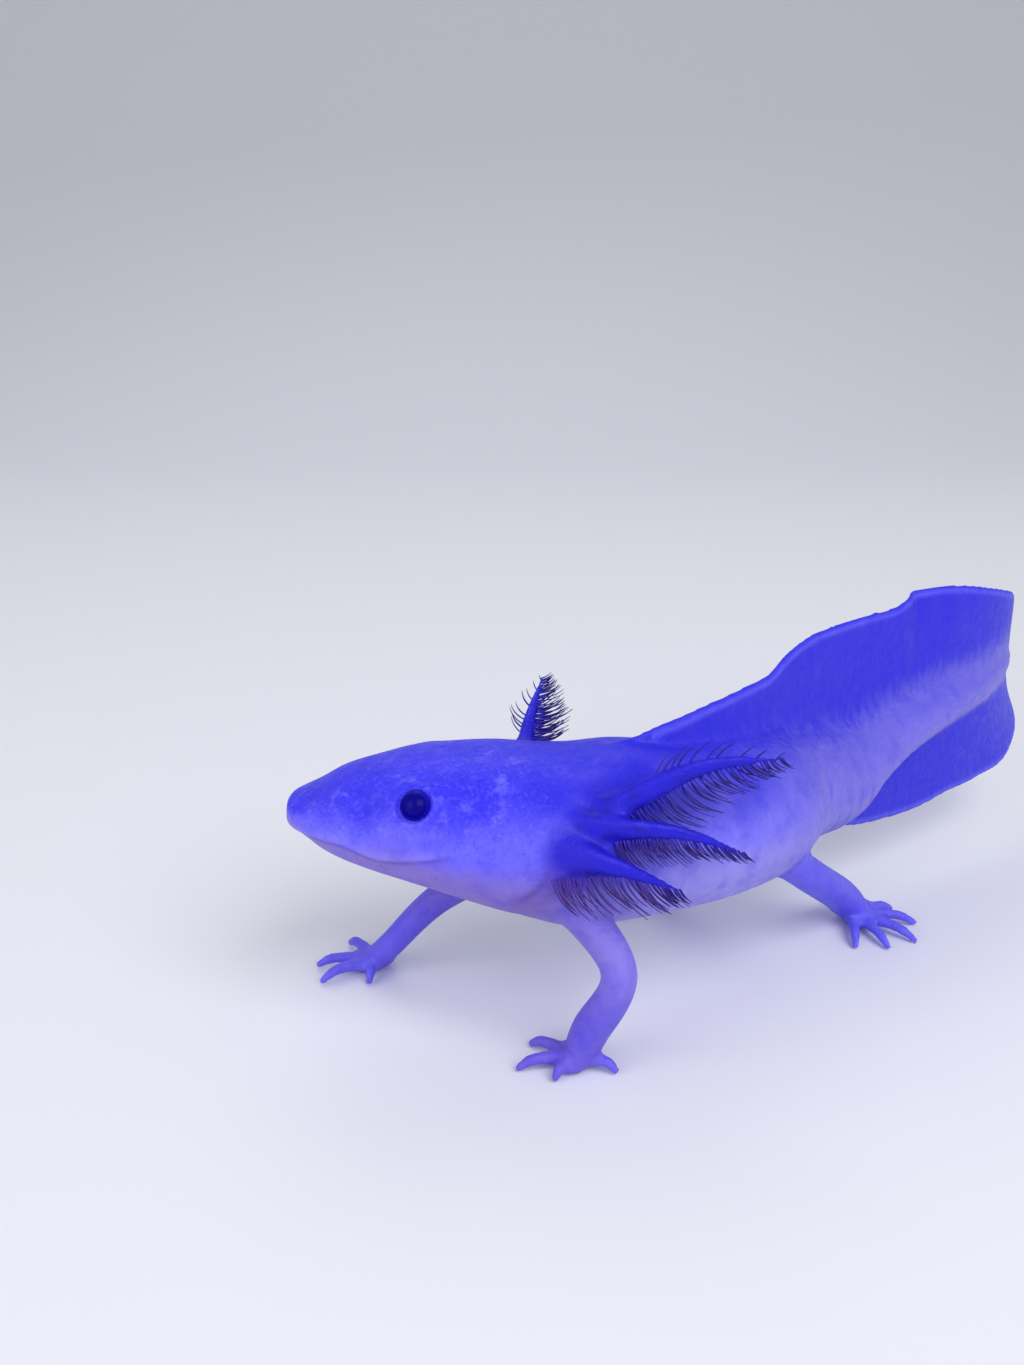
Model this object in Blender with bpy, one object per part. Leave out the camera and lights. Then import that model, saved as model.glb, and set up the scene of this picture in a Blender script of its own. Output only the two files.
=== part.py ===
"""Axolotl, a still life-size model standing on its four feet, head turned a little to its right.

Sizes are in millimetres and are scaled to metres as each mesh is made. +Z is up and the feet stand at z = 0.
The spine starts at the snout and runs towards +X; the animal's left side faces -Y.
Every length of the body is a loft of upright sections along the spine, with a thin gap between neighbours.
"""

import math

import bmesh
import bpy
from mathutils import Vector

MM = 0.001
GAP = 0.3  # clearance between neighbouring solids
HALF_GAP = GAP / 2

BODY_LENGTH = 218.0  # along the spine, snout to tail tip
JAW_END = 23.5  # corner of the mouth
HEAD_END = 37.0
NECK_END = 52.0
CHEST_END = 72.0
TRUNK_END = 98.0
CREST_START = 42.0  # the dorsal fin rises from the back here
VENT = 99.0  # the ventral fin starts behind the vent
TAIL_CUTS = (110.0, 130.0, 152.0, 176.0, BODY_LENGTH)
DORSAL_FIN_CUTS = (CHEST_END, 110.0, 142.0, 176.0)
VENTRAL_FIN_CUTS = (110.0, 142.0, 176.0)
FIN_SEAM = 0.9  # a fin is parted from the flesh at this share of the flesh's height

RING_FLESH = 7  # section points on each side of the flesh
RING_BLADE = 2  # section points on each side of each fin
FIN_EDGE = 0.9  # thickness at a fin's free edge
FIN_ROOT = 2.4  # thickness where a fin leaves the flesh
BLADE_BLEND = 3.0  # fin height at which a section is fully finned
HELD_TAPER = 0.02  # how much a point held at a flat face moves inward, for each mm it was held back

EYE_RADIUS = 2.35
EYE_STATION = 19.5
EYE_OUT = 9.3
EYE_Z = 35.3

# Stations are (distance along the spine, value); the values between them follow a smooth curve.
HEADING = (  # degrees from +X towards +Y
    (0, -30), (34, -28), (48, -10), (62, 11), (74, 17), (88, 15), (104, 10),
    (118, 8), (128, 10), (138, 18), (150, 31), (162, 44), (180, 52), (218, 56),
)
AXIS_Z = (
    (0, 32.0), (8, 31.0), (19, 30.9), (36, 28.8), (45, 27.6), (54, 26.8), (72, 25.4), (86, 23.8), (98, 23.4),
    (104, 25.6), (112, 28.2), (124, 30.3), (136, 31.6), (150, 32.0), (180, 29.5), (218, 26.0),
)
HALF_WIDTH = (
    (0, 0.0), (0.5, 3.0), (1.5, 5.0), (4, 7.4), (8, 10.0), (14, 12.2), (19, 13.5), (28, 15.1), (36, 15.4),
    (43, 14.6), (52, 13.4), (62, 13.4), (71, 12.8), (77, 10.8), (83, 9.0), (92, 7.8), (98, 7.0), (110, 5.8),
    (124, 4.6), (139, 3.4), (152, 2.4), (180, 1.5), (218, 0.7),
)
FLESH_UP = (
    (0, 0.0), (0.5, 0.9), (1.5, 1.5), (4, 3.0), (8, 5.7), (14, 7.6), (19, 8.8), (28, 10.3), (36, 11.2),
    (45, 12.2), (54, 12.6), (72, 12.2), (86, 10.8), (98, 8.6), (104, 7.2), (112, 5.0), (124, 3.7), (136, 2.8),
    (150, 2.1), (180, 1.5), (218, 0.8),
)
FLESH_DOWN = (
    (0, 0.0), (0.5, 1.9), (1.5, 3.1), (4, 4.5), (8, 5.9), (14, 8.0), (19, 9.4), (28, 11.2), (34, 12.2),
    (39, 13.2), (46, 12.2), (54, 11.6), (70, 10.9), (75, 9.8), (80, 8.4), (86, 8.0), (92, 8.2), (98, 7.8),
    (104, 5.6), (112, 4.6), (124, 3.7), (136, 2.8), (150, 2.1), (180, 1.5), (218, 0.8),
)
CREST_Z = (  # upper edge of the dorsal fin
    (42, 40.5), (47, 41.6), (54, 42.6), (60, 43.8), (66, 44.5), (72, 45.1), (76, 45.6), (80, 47.7), (84, 49.0),
    (88, 49.8), (94, 50.1), (102, 50.4), (109, 50.5), (112, 51.4), (115, 52.2), (126, 52.0), (142, 48.8),
    (154, 45.4), (172, 40.2), (190, 36.4), (208, 31.4), (218, 27.6),
)
KEEL_Z = (  # lower edge of the ventral fin
    (99, 14.2), (102, 12.9), (106, 12.2), (110, 11.8), (118, 11.4), (124, 11.7), (128, 12.3), (140, 12.8),
    (150, 13.4), (158, 15.4), (172, 18.2),
    (190, 20.4), (208, 22.8), (218, 24.8),
)
CREST_SWAY = ((42, 0), (112, 0.4), (116, -0.8), (126, 0.4), (145, 1.0), (165, -0.5), (218, 0))
KEEL_SWAY = ((99, 0), (138, 0.4), (152, 2.8), (164, 3.6), (188, 1.5), (218, 0))
MOUTH_Z = ((0, 30.4), (3, 30.9), (9, 31.0), (12.5, 30.0), (15.5, 28.5), (19, 28.8), (24, 30.0))

# A limb's joints: (along the spine from its root station towards the tail, outward from the spine, height).
LIMBS = {
    "front_left": dict(
        station=41.0, side=-1, upper="upper_arm", lower="forearm", end="hand",
        shoulder=(-2.6, 8.6, 22.0), elbow=(2.2, 18.6, 16.0), wrist=(-0.9, 16.2, 6.0), palm=(-2.6, 15.2, 1.8),
        radii=(3.4, 2.4, 2.75), palm_size=(4.1, 3.4),
        toes=((-5.8, -5.2), (-8.4, 0.6), (-3.7, 3.9), (5.2, 3.1)),
    ),
    "front_right": dict(
        station=38.0, side=1, upper="upper_arm", lower="forearm", end="hand",
        shoulder=(-3.0, 8.6, 21.0), elbow=(-16.3, 10.0, 13.2), wrist=(-24.2, 10.3, 5.2), palm=(-26.7, 12.4, 1.65),
        radii=(2.9, 2.3, 2.1), palm_size=(3.6, 3.2),
        toes=((-4.8, 7.2), (-9.5, 0.2), (-8.5, -5.0), (-1.0, -5.8)),
    ),
    "hind_left": dict(
        station=80.0, side=-1, upper="thigh", lower="shin", end="foot",
        shoulder=(-7.6, 5.4, 19.6), elbow=(1.2, 8.4, 13.2), wrist=(10.2, 7.3, 6.4), palm=(13.8, 8.0, 1.9),
        radii=(3.5, 3.0, 2.8), palm_size=(3.9, 3.6),
        toes=((-7.9, 5.1), (-4.4, 9.1), (1.0, 11.1), (6.6, 8.0), (8.2, 2.4)),
    ),
    "hind_right": dict(
        station=80.0, side=1, upper="thigh", lower="shin", end="foot",
        shoulder=(-2.4, 5.4, 17.0), elbow=(-1.0, 17.6, 13.6), wrist=(-2.4, 20.6, 5.4), palm=(-4.6, 22.2, 1.8),
        radii=(3.6, 2.9, 2.5), palm_size=(3.9, 3.6),
        toes=((3.6, 7.4), (-1.0, 9.8), (-5.8, 9.0), (-9.2, 5.2), (-8.6, -1.4)),
    ),
}
LIMB_SIDES = 10
LIMB_RINGS = 4
TOE_SIDES = 6
TOE_RADIUS = 0.95
TOE_TIP = 0.6

# A gill stalk: three points as (along, outward, height) from the spine at GILL_STATION, then the radius
# of the stalk and the length of its filaments.
GILL_STATION = 42.0
GILLS = {
    "upper": dict(base=(0.9, 9.6, 34.7), middle=(12.5, 12.0, 41.1), tip=(23.8, 12.4, 41.8), radius=2.0, comb=6.8),
    "middle": dict(base=(-2.4, 12.4, 34.0), middle=(9.0, 15.0, 33.4), tip=(18.6, 15.0, 29.6), radius=1.7, comb=4.0),
    "lower": dict(base=(-4.8, 14.0, 31.0), middle=(1.6, 16.6, 29.4), tip=(9.4, 16.5, 25.7), radius=2.0, comb=6.4),
}
FAR_GILLS = {
    "upper": dict(base=(-7.4, 9.8, 36.0), middle=(-4.8, 17.6, 39.6), tip=(-1.6, 26.0, 42.5), radius=1.9, comb=6.0),
    "middle": dict(base=(-3.0, 12.4, 34.0), middle=(0.4, 18.6, 33.4), tip=(5.6, 24.6, 30.2), radius=1.5, comb=4.2),
    "lower": dict(base=(-4.8, 14.0, 31.0), middle=(0.6, 20.0, 28.4), tip=(6.4, 25.0, 24.6), radius=1.5, comb=4.8),
}
GILL_RINGS = 5
GILL_SIDES = 6
COMB_TEETH = 5
TOOTH_RADIUS = 0.45
TOOTH_TIP = 0.28

SKIN = ("skin", (0.74, 0.66, 0.78), 0.38)
BELLY = ("belly", (0.82, 0.66, 0.68), 0.40)
FIN = ("fin", (0.62, 0.60, 0.80), 0.35)
GILL = ("gill", (0.48, 0.28, 0.52), 0.42)
EYE = ("eye", (0.01, 0.01, 0.02), 0.08)


# ---------------------------------------------------------------- helpers


def along(stations, s):
    """The value at s on the smooth curve through the stations."""
    last = len(stations) - 1
    s = min(max(s, stations[0][0]), stations[last][0])
    i = max(k for k in range(last) if stations[k][0] <= s)

    def slope(k):
        a, b = stations[max(k - 1, 0)], stations[min(k + 1, last)]
        return (b[1] - a[1]) / (b[0] - a[0])

    (s0, v0), (s1, v1) = stations[i], stations[i + 1]
    h = s1 - s0
    t = (s - s0) / h
    return (
        (2 * t**3 - 3 * t**2 + 1) * v0
        + (t**3 - 2 * t**2 + t) * h * slope(i)
        + (3 * t**2 - 2 * t**3) * v1
        + (t**3 - t**2) * h * slope(i + 1)
    )


def walk_spine(step=0.5):
    """Plan positions of the spine every step, from the headings."""
    points = [Vector((0.0, 0.0))]
    for k in range(round(BODY_LENGTH / step)):
        a = math.radians(along(HEADING, (k + 0.5) * step))
        points.append(points[-1] + step * Vector((math.cos(a), math.sin(a))))
    return points


SPINE_STEP = 0.5
SPINE = walk_spine(SPINE_STEP)


def spine_at(s):
    """(point on the floor under the spine, direction towards the tail, direction to the animal's right)."""
    k = min(max(s / SPINE_STEP, 0.0), len(SPINE) - 1.001)
    i = int(k)
    ground = SPINE[i].lerp(SPINE[i + 1], k - i)
    a = math.radians(along(HEADING, s))
    back = Vector((math.cos(a), math.sin(a), 0.0))
    right = Vector((-math.sin(a), math.cos(a), 0.0))
    return ground.to_3d(), back, right


def place(station, side, where):
    """A point given as (along, outward, height) from the spine at a station."""
    ground, back, right = spine_at(station)
    return ground + where[0] * back + side * where[1] * right + Vector((0, 0, where[2]))


def smooth_step(x):
    x = min(max(x, 0.0), 1.0)
    return x * x * (3 - 2 * x)


def make_material(kind):
    name, colour, roughness = kind
    found = bpy.data.materials.get(name)
    if found:
        return found
    material = bpy.data.materials.new(name)
    material.use_nodes = True
    surface = material.node_tree.nodes["Principled BSDF"]
    surface.inputs["Base Color"].default_value = (*colour, 1.0)
    surface.inputs["Roughness"].default_value = roughness
    surface.inputs["Metallic"].default_value = 0.0
    return material


def new_object(name, shape, kind, helper=False):
    """An object from a bmesh in millimetres. A helper cuts or joins others and isn't part of the model."""
    bmesh.ops.scale(shape, vec=(MM, MM, MM), verts=shape.verts)
    bmesh.ops.recalc_face_normals(shape, faces=shape.faces)
    mesh = bpy.data.meshes.new(name)
    shape.to_mesh(mesh)
    shape.free()
    mesh.shade_smooth()
    mesh.materials.append(make_material(kind))
    made = bpy.data.objects.new(name, mesh)
    bpy.context.scene.collection.objects.link(made)
    if helper:
        made.hide_render = True
        made.display_type = "WIRE"
    return made


def loft(rings):
    """A closed bmesh through rings of points, with flat caps."""
    shape = bmesh.new()
    rows = [[shape.verts.new(p) for p in ring] for ring in rings]
    n = len(rows[0])
    for a, b in zip(rows, rows[1:]):
        for i in range(n):
            j = (i + 1) % n
            shape.faces.new((a[i], a[j], b[j], b[i]))
    shape.faces.new(rows[0][::-1])
    shape.faces.new(rows[-1])
    return shape


def boolean(target, operation, other):
    """other is an object, or a collection of objects."""
    step = target.modifiers.new(operation.lower(), "BOOLEAN")
    step.operation = operation
    step.solver = "EXACT"
    if isinstance(other, bpy.types.Collection):
        step.operand_type = "COLLECTION"
        step.collection = other
    else:
        step.object = other


def group_of(name, objects):
    """A collection of helpers, so that one Boolean joins them all."""
    made = bpy.data.collections.new(name)
    bpy.context.scene.collection.children.link(made)
    for o in objects:
        bpy.context.scene.collection.objects.unlink(o)
        made.objects.link(o)
    return made


# ---------------------------------------------------------------- body sections


def half_ring(s, grow):
    """One side of the section at s from top to bottom, as (half width, height above the floor, sideways lean).

    The lean carries the fins' free edges towards the animal's left and is the same for both faces of a fin.
    """
    axis = along(AXIS_Z, s)
    width = along(HALF_WIDTH, s) + grow
    up, down = along(FLESH_UP, s) + grow, along(FLESH_DOWN, s) + grow
    crest = max(along(CREST_Z, s) - axis + grow, up) if s > CREST_START else up
    keel = max(axis - along(KEEL_Z, s) + grow, down) if s > VENT else down
    edge, root = FIN_EDGE / 2 + grow, min(FIN_ROOT / 2 + grow, 0.6 * width)
    total = RING_FLESH + 2 * RING_BLADE
    side = []
    sway = (along(CREST_SWAY, s), along(KEEL_SWAY, s))
    for i in range(total):
        plain = math.pi * (i + 0.5) / total
        reach = up if plain < math.pi / 2 else down
        ellipse = (width * math.sin(plain), reach * math.cos(plain))
        if i < RING_BLADE:
            f = i / RING_BLADE
            finned = (edge + (root - edge) * f, crest + (0.94 * up - crest) * f)
            share = smooth_step((crest - up) / BLADE_BLEND)
        elif i >= total - RING_BLADE:
            f = (total - 1 - i) / RING_BLADE
            finned = (edge + (root - edge) * f, -(keel + (0.94 * down - keel) * f))
            share = smooth_step((keel - down) / BLADE_BLEND)
        else:
            turn = math.pi * (i - RING_BLADE + 0.9) / (RING_FLESH + 0.8)
            bulge = (width * math.sin(turn), (up if turn < math.pi / 2 else down) * math.cos(turn))
            finned = (max(bulge[0], root), bulge[1])
            high = turn < math.pi / 2
            share = smooth_step(((crest - up) if high else (keel - down)) / BLADE_BLEND)
        z = ellipse[1] + (finned[1] - ellipse[1]) * share
        reach, lean = (crest - up, sway[0]) if z > 0 else (keel - down, sway[1])
        out = max(abs(z) - (up if z > 0 else down), 0.0) / max(reach, 0.1)
        side.append((ellipse[0] + (finned[0] - ellipse[0]) * share, axis + z, lean * share * out**1.5))
    return side


def section(s, grow=0.0, low=None, high=None):
    """The whole section at s in space, held between the heights low and high."""
    ground, _, right = spine_at(s)
    side = half_ring(s, grow)
    ring = side + [(-u, z, lean) for u, z, lean in reversed(side)]
    points = []
    for u, z, lean in ring:
        held = z
        if low is not None:
            held = max(held, low)
        if high is not None:
            held = min(held, high)
        if held != z:
            lean = 0.0
            u *= max(1.0 - HELD_TAPER * abs(z - held), 0.5)
        points.append(ground + right * (u - lean) + Vector((0, 0, held)))
    return points


def stations_between(start, end, step):
    count = max(2, math.ceil((end - start) / step) + 1)
    return [start + (end - start) * i / (count - 1) for i in range(count)]


def nose_stations(end, step):
    """Stations that crowd towards the snout, where the sections close quickly."""
    return [0.12, 0.5, 1.3, 2.6, 4.4, 6.8] + stations_between(9.4, end, step)


def fin_section(s, upper):
    """The ring of one fin at s, from its free edge to the seam where it's parted from the flesh."""
    ground, _, right = spine_at(s)
    seam = seam_height(s, upper)
    side = half_ring(s, 0.0)
    if not upper:
        side = side[::-1]
    blade, below = side[:RING_BLADE], side[RING_BLADE]
    t = (seam - blade[-1][1]) / (below[1] - blade[-1][1])
    root = [a + (b - a) * t for a, b in zip(blade[-1], below)]
    profile = [*blade, root]
    ring = [(u, z, lean) for u, z, lean in profile] + [(-u, z, lean) for u, z, lean in reversed(profile)]
    return [ground + right * (u - lean) + Vector((0, 0, z)) for u, z, lean in ring]


def seam_height(s, upper):
    axis = along(AXIS_Z, s)
    return axis + FIN_SEAM * along(FLESH_UP, s) if upper else axis - FIN_SEAM * along(FLESH_DOWN, s)


def make_fins():
    for upper, cuts, names in (
        (True, DORSAL_FIN_CUTS, ("dorsal_fin_front", "dorsal_fin_middle", "dorsal_fin_rear")),
        (False, VENTRAL_FIN_CUTS, ("ventral_fin_front", "ventral_fin_rear")),
    ):
        for name, start, end in zip(names, cuts, cuts[1:]):
            stations = stations_between(start + HALF_GAP, end - HALF_GAP, 4.0)
            new_object(name, loft([fin_section(s, upper) for s in stations]), FIN)


def body_length(name, start, end, step, kind=SKIN, dorsal=False, ventral=False):
    """One length of flesh; where a fin is a piece of its own, the flesh stops short of it."""
    rings = []
    for s in stations_between(start + HALF_GAP, end - HALF_GAP, step):
        high = seam_height(s, True) - GAP if dorsal else None
        low = seam_height(s, False) + GAP if ventral else None
        rings.append(section(s, low=low, high=high))
    return new_object(name, loft(rings), kind)


def make_head():
    """The head above the mouth, and whole behind the corner of the mouth."""
    above = [
        section(s, low=along(MOUTH_Z, s) + HALF_GAP)
        for s in nose_stations(JAW_END, 3.0)
    ]
    behind = [section(s) for s in stations_between(JAW_END + 0.02, HEAD_END - HALF_GAP, 3.4)]
    head = new_object("head", loft(above + behind), SKIN)
    for side, label in ((-1, "left"), (1, "right")):
        centre = place(EYE_STATION, side, (0.0, EYE_OUT, EYE_Z))
        boolean(head, "DIFFERENCE", make_ball("socket_" + label, centre, EYE_RADIUS + GAP, EYE, True))
        make_ball("eye_" + label, centre, EYE_RADIUS, EYE, False)


def make_ball(name, centre, radius, kind, helper):
    shape = bmesh.new()
    bmesh.ops.create_uvsphere(shape, u_segments=12, v_segments=8, radius=radius)
    bmesh.ops.translate(shape, vec=centre, verts=shape.verts)
    return new_object(name, shape, kind, helper)


def make_jaw():
    rings = [
        section(s, high=along(MOUTH_Z, s) - HALF_GAP)
        for s in nose_stations(JAW_END - GAP, 3.0)[1:]
    ]
    new_object("lower_jaw", loft(rings), BELLY)


def make_body():
    make_head()
    make_jaw()
    body_length("neck", HEAD_END, NECK_END, 3.0)
    body_length("chest", NECK_END, CHEST_END, 4.0)
    body_length("trunk", CHEST_END, TRUNK_END, 4.0, dorsal=True)
    start = TRUNK_END
    for name, end in zip(("tail_base", "tail_front", "tail_middle", "tail_bend", "tail_tip"), TAIL_CUTS):
        last = end == BODY_LENGTH
        body_length(name, start, end, 4.8 if last else 4.0, FIN if last else SKIN,
                    dorsal=not last, ventral=VENTRAL_FIN_CUTS[0] <= start < VENTRAL_FIN_CUTS[-1])
        start = end
    make_fins()


# ---------------------------------------------------------------- limbs and gills


def smooth_path(points, count):
    """count points on a Catmull-Rom curve through the given points."""
    ends = [points[0] * 2 - points[1], *points, points[-1] * 2 - points[-2]]
    found = []
    for k in range(count):
        t = k * (len(points) - 1) / (count - 1)
        i = min(int(t), len(points) - 2)
        t -= i
        a, b, c, d = ends[i : i + 4]
        found.append(
            0.5 * (2 * b + (c - a) * t + (2 * a - 5 * b + 4 * c - d) * t**2 + (3 * b - a - 3 * c + d) * t**3)
        )
    return found


def tube(path, radii, sides, flats=None):
    """Rings round a path, carried along it without twisting; flats are each ring's height over its width."""
    rings = []
    across = (path[1] - path[0]).cross(Vector((0, 0, 1))).normalized()
    for k, centre in enumerate(path):
        before, after = path[max(k - 1, 0)], path[min(k + 1, len(path) - 1)]
        forward = (after - before).normalized()
        across = (across - forward * across.dot(forward)).normalized()
        lift = across.cross(forward)
        top = Vector((0, 0, 1)) - forward * forward.z
        ring = []
        for i in range(sides):
            turn = 2 * math.pi * i / sides
            offset = radii[k] * (across * math.cos(turn) + lift * math.sin(turn))
            if flats and flats[k] != 1.0:
                offset -= top * ((1 - flats[k]) * offset.dot(top) / top.length_squared)
            ring.append(centre + offset)
        rings.append(ring)
    return rings


def spread(values, count):
    """count values read evenly along a short list."""
    table = tuple(enumerate(values))
    return [along(table, k * (len(values) - 1) / (count - 1)) for k in range(count)]


def moved(ring, way, distance):
    return [point + way * distance for point in ring]


def make_toe(name, start, tip):
    """A tapered digit from inside the palm to its tip, low arched, as a helper to be joined."""
    middle = start.lerp(tip, 0.55) + Vector((0, 0, 0.8))
    path = smooth_path([start, middle, tip], 4)
    radii = spread((TOE_RADIUS * 1.25, TOE_RADIUS, TOE_TIP), 4)
    return new_object(name, loft(tube(path, radii, TOE_SIDES)), SKIN, True)


def make_limb(label, limb, cutter, floor):
    """Two lengths and a hand or foot, cut from one tube so that the faces at each joint are parallel."""
    station, side = limb["station"], limb["side"]
    joints = [place(station, side, limb[k]) for k in ("shoulder", "elbow", "wrist", "palm")]
    palm = joints[-1]
    _, back, right = spine_at(station)
    reaches = [back * ahead + right * side * out for ahead, out in limb["toes"]]
    wide, deep = limb["palm_size"]
    front = palm + sum(reaches, Vector()).normalized() * deep
    front.z = 1.4

    path = smooth_path([*joints, front], 4 * LIMB_RINGS + 1)
    thick, mid, thin = limb["radii"]
    radii = spread((thick, mid, thin, wide * 0.82, wide * 0.7), len(path))
    rings = tube(path, radii, LIMB_SIDES, spread((1.0, 1.0, 0.94, 0.62, 0.5), len(path)))
    cuts = []
    for joint in (LIMB_RINGS, 2 * LIMB_RINGS):
        way = (path[joint + 1] - path[joint - 1]).normalized()
        cuts.append((moved(rings[joint], way, -HALF_GAP), moved(rings[joint], way, HALF_GAP)))
    upper = [*rings[:LIMB_RINGS], cuts[0][0]]
    lower = [cuts[0][1], *rings[LIMB_RINGS + 1 : 2 * LIMB_RINGS], cuts[1][0]]
    arm = new_object(f"{limb['upper']}_{label}", loft(upper), SKIN)
    boolean(arm, "DIFFERENCE", cutter)
    new_object(f"{limb['lower']}_{label}", loft(lower), SKIN)
    hand = new_object(f"{limb['end']}_{label}", loft([cuts[1][1], *rings[2 * LIMB_RINGS + 2 :: 2]]), SKIN)

    toes = []
    for k, reach in enumerate(reaches):
        start = palm + reach.normalized() * (deep * 0.35)
        tip = palm + reach
        start.z, tip.z = 1.25, 0.3
        toes.append(make_toe(f"toe_{label}_{k}", start, tip))
    boolean(hand, "UNION", group_of(f"toes_{label}", toes))
    boolean(hand, "DIFFERENCE", floor)


def make_gill(name, side, gill, cutter):
    """A tapered stalk with two rows of filaments, joined to it, hanging from its lower edge."""
    base, middle, tip = (place(GILL_STATION, side, gill[k]) for k in ("base", "middle", "tip"))
    ahead = (tip - base).normalized()
    inside = base - (middle - base).normalized() * 4.0
    path = smooth_path([inside, base, middle, tip], GILL_RINGS + 3)
    radius = gill["radius"]
    radii = spread((radius, radius * 0.95, radius * 0.62, 0.5), len(path))
    stalk = new_object(name, loft(tube(path, radii, GILL_SIDES)), GILL)
    _, _, right = spine_at(GILL_STATION)
    down = (Vector((0, 0, -1)) + 0.35 * ahead).normalized()
    outward = right * side
    teeth = []
    for k in range(COMB_TEETH):
        f = (k + 1.2) / (COMB_TEETH + 0.6)
        root = base.lerp(middle, 2 * f) if f < 0.5 else middle.lerp(tip, 2 * f - 1)
        length = gill["comb"] * (0.75 + 0.5 * math.sin(math.pi * f)) * (1 - 0.5 * f)
        for row, lean in enumerate((0.28, -0.18)):
            way = (down + lean * outward).normalized()
            bend = root + way * length * 0.55 + ahead * 0.2 * length
            end = root + way * length + ahead * 0.75 * length
            shape = loft(tube([root, bend, end], (TOOTH_RADIUS, 0.4, TOOTH_TIP), 4))
            teeth.append(new_object(f"filament_{name}_{k}_{row}", shape, GILL, True))
    boolean(stalk, "UNION", group_of(f"filaments_{name}", teeth))
    boolean(stalk, "DIFFERENCE", cutter)


def make_floor_cutter():
    shape = bmesh.new()
    bmesh.ops.create_cube(shape, size=1.0)
    bmesh.ops.scale(shape, vec=(400, 400, 20), verts=shape.verts)
    bmesh.ops.translate(shape, vec=(60, 0, -10), verts=shape.verts)
    return new_object("floor_cutter", shape, SKIN, True)


def make_body_cutter():
    """The body grown by the gap, which the roots of limbs and gills stop short of."""
    rings = [section(s, grow=GAP) for s in stations_between(24.0, 116.0, 3.0)]
    return new_object("body_cutter", loft(rings), SKIN, True)


def centre_on_origin():
    """Moves everything so that the model's box is centred over the origin, with the feet at z = 0."""
    bpy.context.view_layer.update()
    graph = bpy.context.evaluated_depsgraph_get()
    solids = [o for o in bpy.data.objects if not o.hide_render]
    corners = [
        o.matrix_world @ Vector(c) for o in solids for c in o.evaluated_get(graph).bound_box
    ]
    middle_x = (min(c.x for c in corners) + max(c.x for c in corners)) / 2
    middle_y = (min(c.y for c in corners) + max(c.y for c in corners)) / 2
    for o in bpy.data.objects:
        o.location = (-middle_x, -middle_y, 0.0)


def main():
    for o in list(bpy.data.objects):
        bpy.data.objects.remove(o)
    make_body()
    cutter, floor = make_body_cutter(), make_floor_cutter()
    for label, limb in LIMBS.items():
        make_limb(label, limb, cutter, floor)
    for label, gill in GILLS.items():
        make_gill(f"gill_left_{label}", -1, gill, cutter)
    for label, gill in FAR_GILLS.items():
        make_gill(f"gill_right_{label}", 1, gill, cutter)
    centre_on_origin()


main()
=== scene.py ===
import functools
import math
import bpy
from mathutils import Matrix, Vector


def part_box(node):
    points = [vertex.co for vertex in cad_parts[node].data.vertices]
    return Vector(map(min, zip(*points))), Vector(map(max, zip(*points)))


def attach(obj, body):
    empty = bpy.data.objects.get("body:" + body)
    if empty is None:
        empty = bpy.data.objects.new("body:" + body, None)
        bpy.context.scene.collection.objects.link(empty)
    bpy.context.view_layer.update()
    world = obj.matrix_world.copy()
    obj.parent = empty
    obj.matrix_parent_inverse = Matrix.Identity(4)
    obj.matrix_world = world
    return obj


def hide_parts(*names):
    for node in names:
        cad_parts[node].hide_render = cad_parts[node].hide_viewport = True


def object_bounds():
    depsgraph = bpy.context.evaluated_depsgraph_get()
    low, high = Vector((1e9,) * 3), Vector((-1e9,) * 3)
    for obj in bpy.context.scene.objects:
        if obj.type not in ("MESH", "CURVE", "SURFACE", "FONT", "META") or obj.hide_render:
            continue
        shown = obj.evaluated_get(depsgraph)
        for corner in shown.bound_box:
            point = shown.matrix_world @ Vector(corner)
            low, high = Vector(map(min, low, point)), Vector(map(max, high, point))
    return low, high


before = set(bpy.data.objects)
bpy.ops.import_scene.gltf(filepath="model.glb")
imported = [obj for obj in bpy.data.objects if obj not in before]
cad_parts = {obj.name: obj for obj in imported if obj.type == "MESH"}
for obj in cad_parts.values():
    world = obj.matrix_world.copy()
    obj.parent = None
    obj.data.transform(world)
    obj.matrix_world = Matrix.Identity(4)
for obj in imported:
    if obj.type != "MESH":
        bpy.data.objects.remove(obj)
cad_low, cad_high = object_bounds()

# An axolotl under soft studio light. One skin covers head, body, fins, limbs and gill stalks with no seam.
# The two eyes and the six combs of gill filaments are pieces of their own.
# Shapes are in millimetres in the animal's own frame: the snout is over the origin, the spine runs towards
# +X and its left side faces -Y. ORIGIN, read from the left eye's node, is where that origin lies in the row
# frame. Along the animal, s is the station: the distance along the spine from the snout.

from types import SimpleNamespace

import bmesh
import bpy
import numpy as np
from mathutils import Vector

MM = 0.001
VOXEL = 0.4

# ---- the animal's form

BODY_LENGTH = 218.0
CREST_START = 42.0  # station where the dorsal fin begins
CREST_RISE = 12.0  # the fin reaches its full height over this length
VENT = 99.0  # station where the ventral fin begins
FIN_EDGE = 0.9  # thickness of a fin at its free edge and at its root
FIN_ROOT = 2.4
BLADE_BLEND = 3.0  # height over which a fin grows out of the flesh
NAPE = dict(height=0.8, station=46.5, length=5.5)  # the back swells here, to run into the fin

EYE_RADIUS = 2.35
EYE_STATION = 19.5
EYE_OUT = 9.3
EYE_Z = 35.3

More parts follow.
